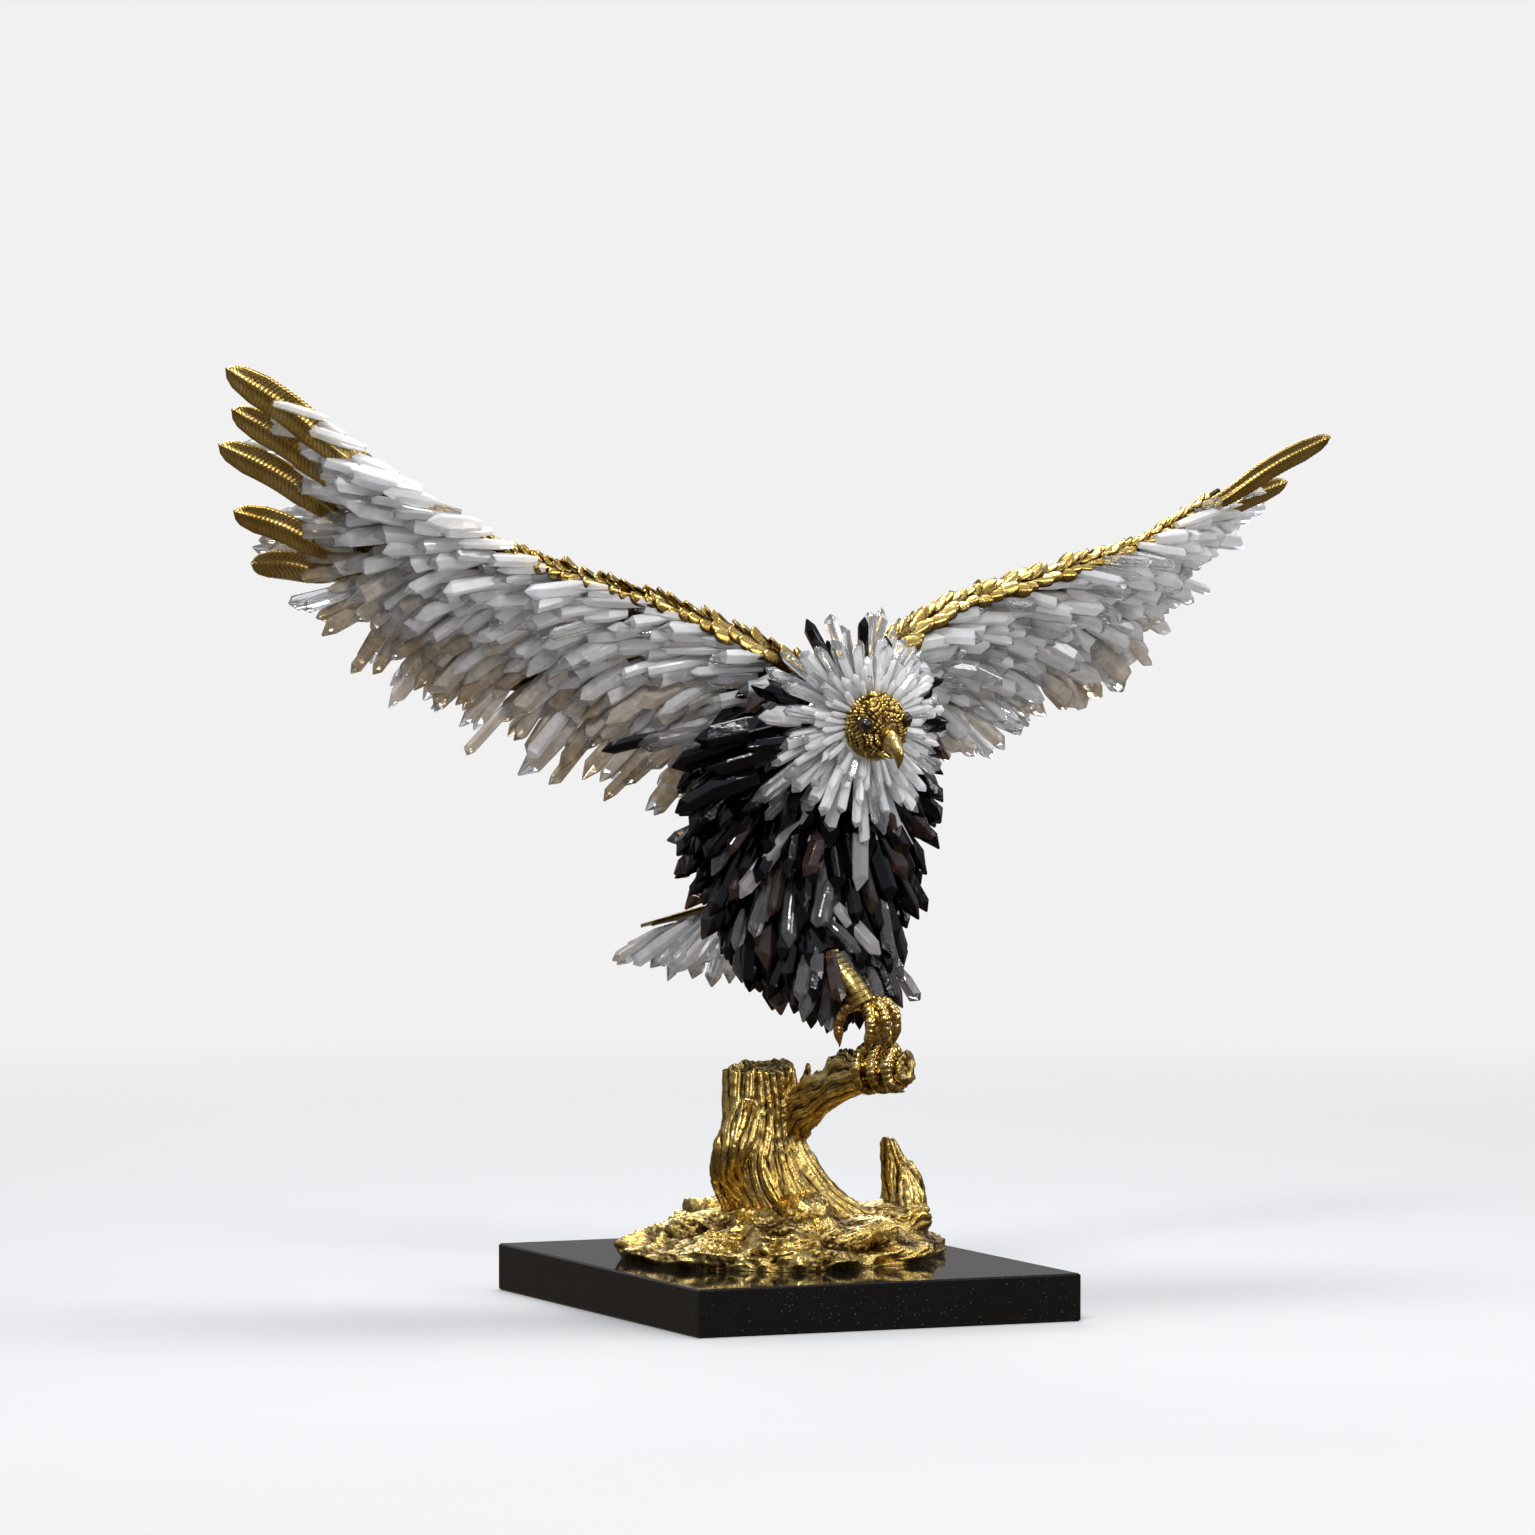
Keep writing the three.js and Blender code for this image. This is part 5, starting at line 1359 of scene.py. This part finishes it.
def rocks():
    """A mound of worn rock with two ledges and a pitted face."""
    rows, sides = 110, 460
    at = np.linspace(0, 1, rows)
    kernel = np.hanning(9) / np.hanning(9).sum()
    columns = (steps(column)(at) for column in zip(*ROCK_PROFILE))
    heights, shares = (np.convolve(np.pad(column, 4, mode="edge"), kernel, "valid") for column in columns)
    turn = turns(sides)[None, :]
    lobes = 1 + 0.05 * np.sin(3 * turn + 1) + 0.045 * np.sin(7 * turn + 2)
    x = np.cos(turn) * ROCK_HALF[0] * shares[:, None] * lobes
    y = np.sin(turn) * ROCK_HALF[1] * shares[:, None] * lobes
    z = heights[:, None] * ROCK_HEIGHT + 0 * turn
    points = np.stack([x, y, z], -1)
    outward = unit(points - (0, 0, -40))
    big = noise(points, (46, 46, 34), 1) - 0.5
    lump = 1 - 2 * np.abs(noise(points, (24, 24, 17), 12) - 0.5)
    fold = np.abs(np.sin(points[..., 2] / 10 + 5 * noise(points, (40, 40, 30), 9) + big * 4)) ** 0.7
    small = 1 - 2 * np.abs(noise(points, 7.0, 3) - 0.5)
    pits = 1 - 2 * np.abs(noise(points, 3.0, 4) - 0.5)
    height = 0.4 * fold + 0.3 * small + 0.25 * pits + 0.45 * (lump - 0.5)
    rise = big * 26 + (lump - 0.6) * 13 + (fold - 0.6) * 6 + (small - 0.6) * 3.8 + (pits - 0.6) * 2.2
    rise = rise * smooth_step(0, 0.06, at)[:, None]
    points = points + outward * rise[..., None]
    points[..., 2] = np.maximum(points[..., 2], 0.0)
    points[0, :, 2] = 0.0
    shape = Shape()
    shape.add_grid(points, relief=np.clip(height * 1.7 - 0.5, 0, 1))
    return shape


def slab():
    """The CAD's slab, with a finer arris and polished granite."""
    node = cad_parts["plinth"]
    node.data.materials.clear()
    node.data.materials.append(GRANITE)
    bevel = node.modifiers.new("arris", "BEVEL")
    bevel.width = SLAB_ARRIS * MM
    bevel.segments = 2


def camera():
    """The photograph's camera, with a long lens."""
    data = bpy.data.cameras.new("camera")
    data.sensor_width = SENSOR
    data.lens = SENSOR * CAMERA_DISTANCE / PICTURE_WIDTH
    data.clip_start, data.clip_end = 0.1, 200
    made = add_object("camera", data)
    ahead = CAMERA_LEVEL * math.cos(CAMERA_RISE) - UP * math.sin(CAMERA_RISE)
    up = np.cross(CAMERA_RIGHT, ahead)
    turned = Matrix(np.stack([CAMERA_RIGHT, up, -ahead], -1).tolist()).to_4x4()
    made.matrix_world = Matrix.Translation(Vector((LOOK_AT - ahead * CAMERA_DISTANCE) * MM)) @ turned
    bpy.context.scene.camera = made


def lamp(name, place, aim, size, power, tint):
    """A rectangular area light that points at a place."""
    data = bpy.data.lights.new(name, "AREA")
    data.shape = "RECTANGLE"
    data.size, data.size_y = size
    data.energy = power
    data.color = tint
    made = add_object(name, data)
    made.location = place
    made.rotation_euler = (Vector(aim) - Vector(place)).to_track_quat("-Z", "Y").to_euler()


def studio():
    """Soft light from above and in front, and a pale floor that fades into a pale background."""
    for name, about in LAMPS.items():
        lamp(name, *about)
    world = bpy.data.worlds.new("studio")
    sky = Nodes(world)
    parts = sky.node("ShaderNodeSeparateXYZ", {"Vector": sky.coordinates("Generated")})
    ramp = sky.node("ShaderNodeValToRGB", {"Fac": sky.range(parts.outputs["Z"], -1, 1, 0, 1)})
    low, high = ramp.color_ramp.elements
    low.position, low.color = 0.45, colour(0.12, 0.1, 0.08)
    high.position, high.color = 0.9, colour(0.62, 0.66, 0.74)
    lit = sky.node("ShaderNodeBackground", {"Color": ramp.outputs["Color"]})
    seen = sky.nodes["Background"]
    seen.inputs["Color"].default_value = colour(0.88, 0.88, 0.88)
    to_camera = sky.node("ShaderNodeLightPath").outputs["Is Camera Ray"]
    shown = {"Fac": to_camera, 1: lit.outputs["Background"], 2: seen.outputs["Background"]}
    either = sky.node("ShaderNodeMixShader", shown)
    sky.feed(sky.nodes["World Output"].inputs["Surface"], either.outputs["Shader"])
    bpy.context.scene.world = world

    surface = Surface("floor", Base_Color=colour(0.47, 0.47, 0.47), Roughness=0.9)
    away = surface.node("ShaderNodeVectorMath", {0: surface.coordinates("Object")}, operation="LENGTH")
    surface.set("Alpha", surface.range(away.outputs["Value"], 0.9, 3.0, 1, 0))
    mesh = bpy.data.meshes.new("floor")
    turn = turns(64)
    ring = np.stack([np.cos(turn), np.sin(turn), 0 * turn], -1) * FLOOR_RADIUS
    mesh.from_pydata(ring.tolist(), [], [list(range(64))])
    mesh.materials.append(surface.material)
    floor = add_object("floor", mesh)
    floor.visible_glossy = False
    bpy.context.scene.view_settings.view_transform = "Standard"


camera()
studio()
slab()

for side in ("right", "left"):
    wing = Wing(side)
    points = wing_quartz(wing).piece(f"{side}_wing_points", LIGHT_QUARTZ, smooth=False)
    finish_piece(points, "clear_quartz", f"{side}_wing_quartz")
    casting = wing_casting(wing).piece(f"{side}_wing_feathers", [GILT_FEATHER, GILT_QUILL])
    finish_piece(casting, "gilt_brass", f"{side}_wing_casting")

finish_piece(body_quartz().piece("body_points", DARK_QUARTZ, smooth=False), "smoky_quartz", "body_quartz")
finish_piece(tail_quartz().piece("tail_points", LIGHT_QUARTZ, smooth=False), "clear_quartz", "tail_quartz")
finish_piece(tail_casting().piece("tail_feathers", [GILT_FEATHER]), "gilt_brass", "tail_casting")

bird_head = Head()
head_shape = Shape()
skull(bird_head, head_shape)
for side in (1, -1):
    eyelid(bird_head, head_shape, side)
finish_piece(head_shape.piece("chased_head", [GILT_CHASED]), "gilt_brass", "head")
beak_shape = Shape()
beak(bird_head, beak_shape)
finish_piece(beak_shape.piece("beak", [GILT_SMOOTH]), "gilt_brass", "head")
for name, side in (("left", 1), ("right", -1)):
    eye = Shape()
    add_ball(eye, eye_place(bird_head, side), EYE_RADIUS + 0.6)
    finish_piece(eye.piece(f"{name}_eye_bead", [BEAD]), "black_bead", f"{name}_eye")
ruff_points = ruff(bird_head).piece("ruff_points", [WHITE, CLEAR, SMOKY], smooth=False)
finish_piece(ruff_points, "clear_quartz", "neck_quartz")

finish_piece(right_leg().piece("raised_leg", [GILT_SMOOTH]), "gilt_brass", "right_leg")
finish_piece(left_leg().piece("perched_leg", [GILT_SMOOTH]), "gilt_brass", "left_leg")
finish_piece(tree(), "gilt_brass", "stump")
finish_piece(rocks().piece("rock_mound", [GILT_ROCK]), "gilt_brass", "stump")
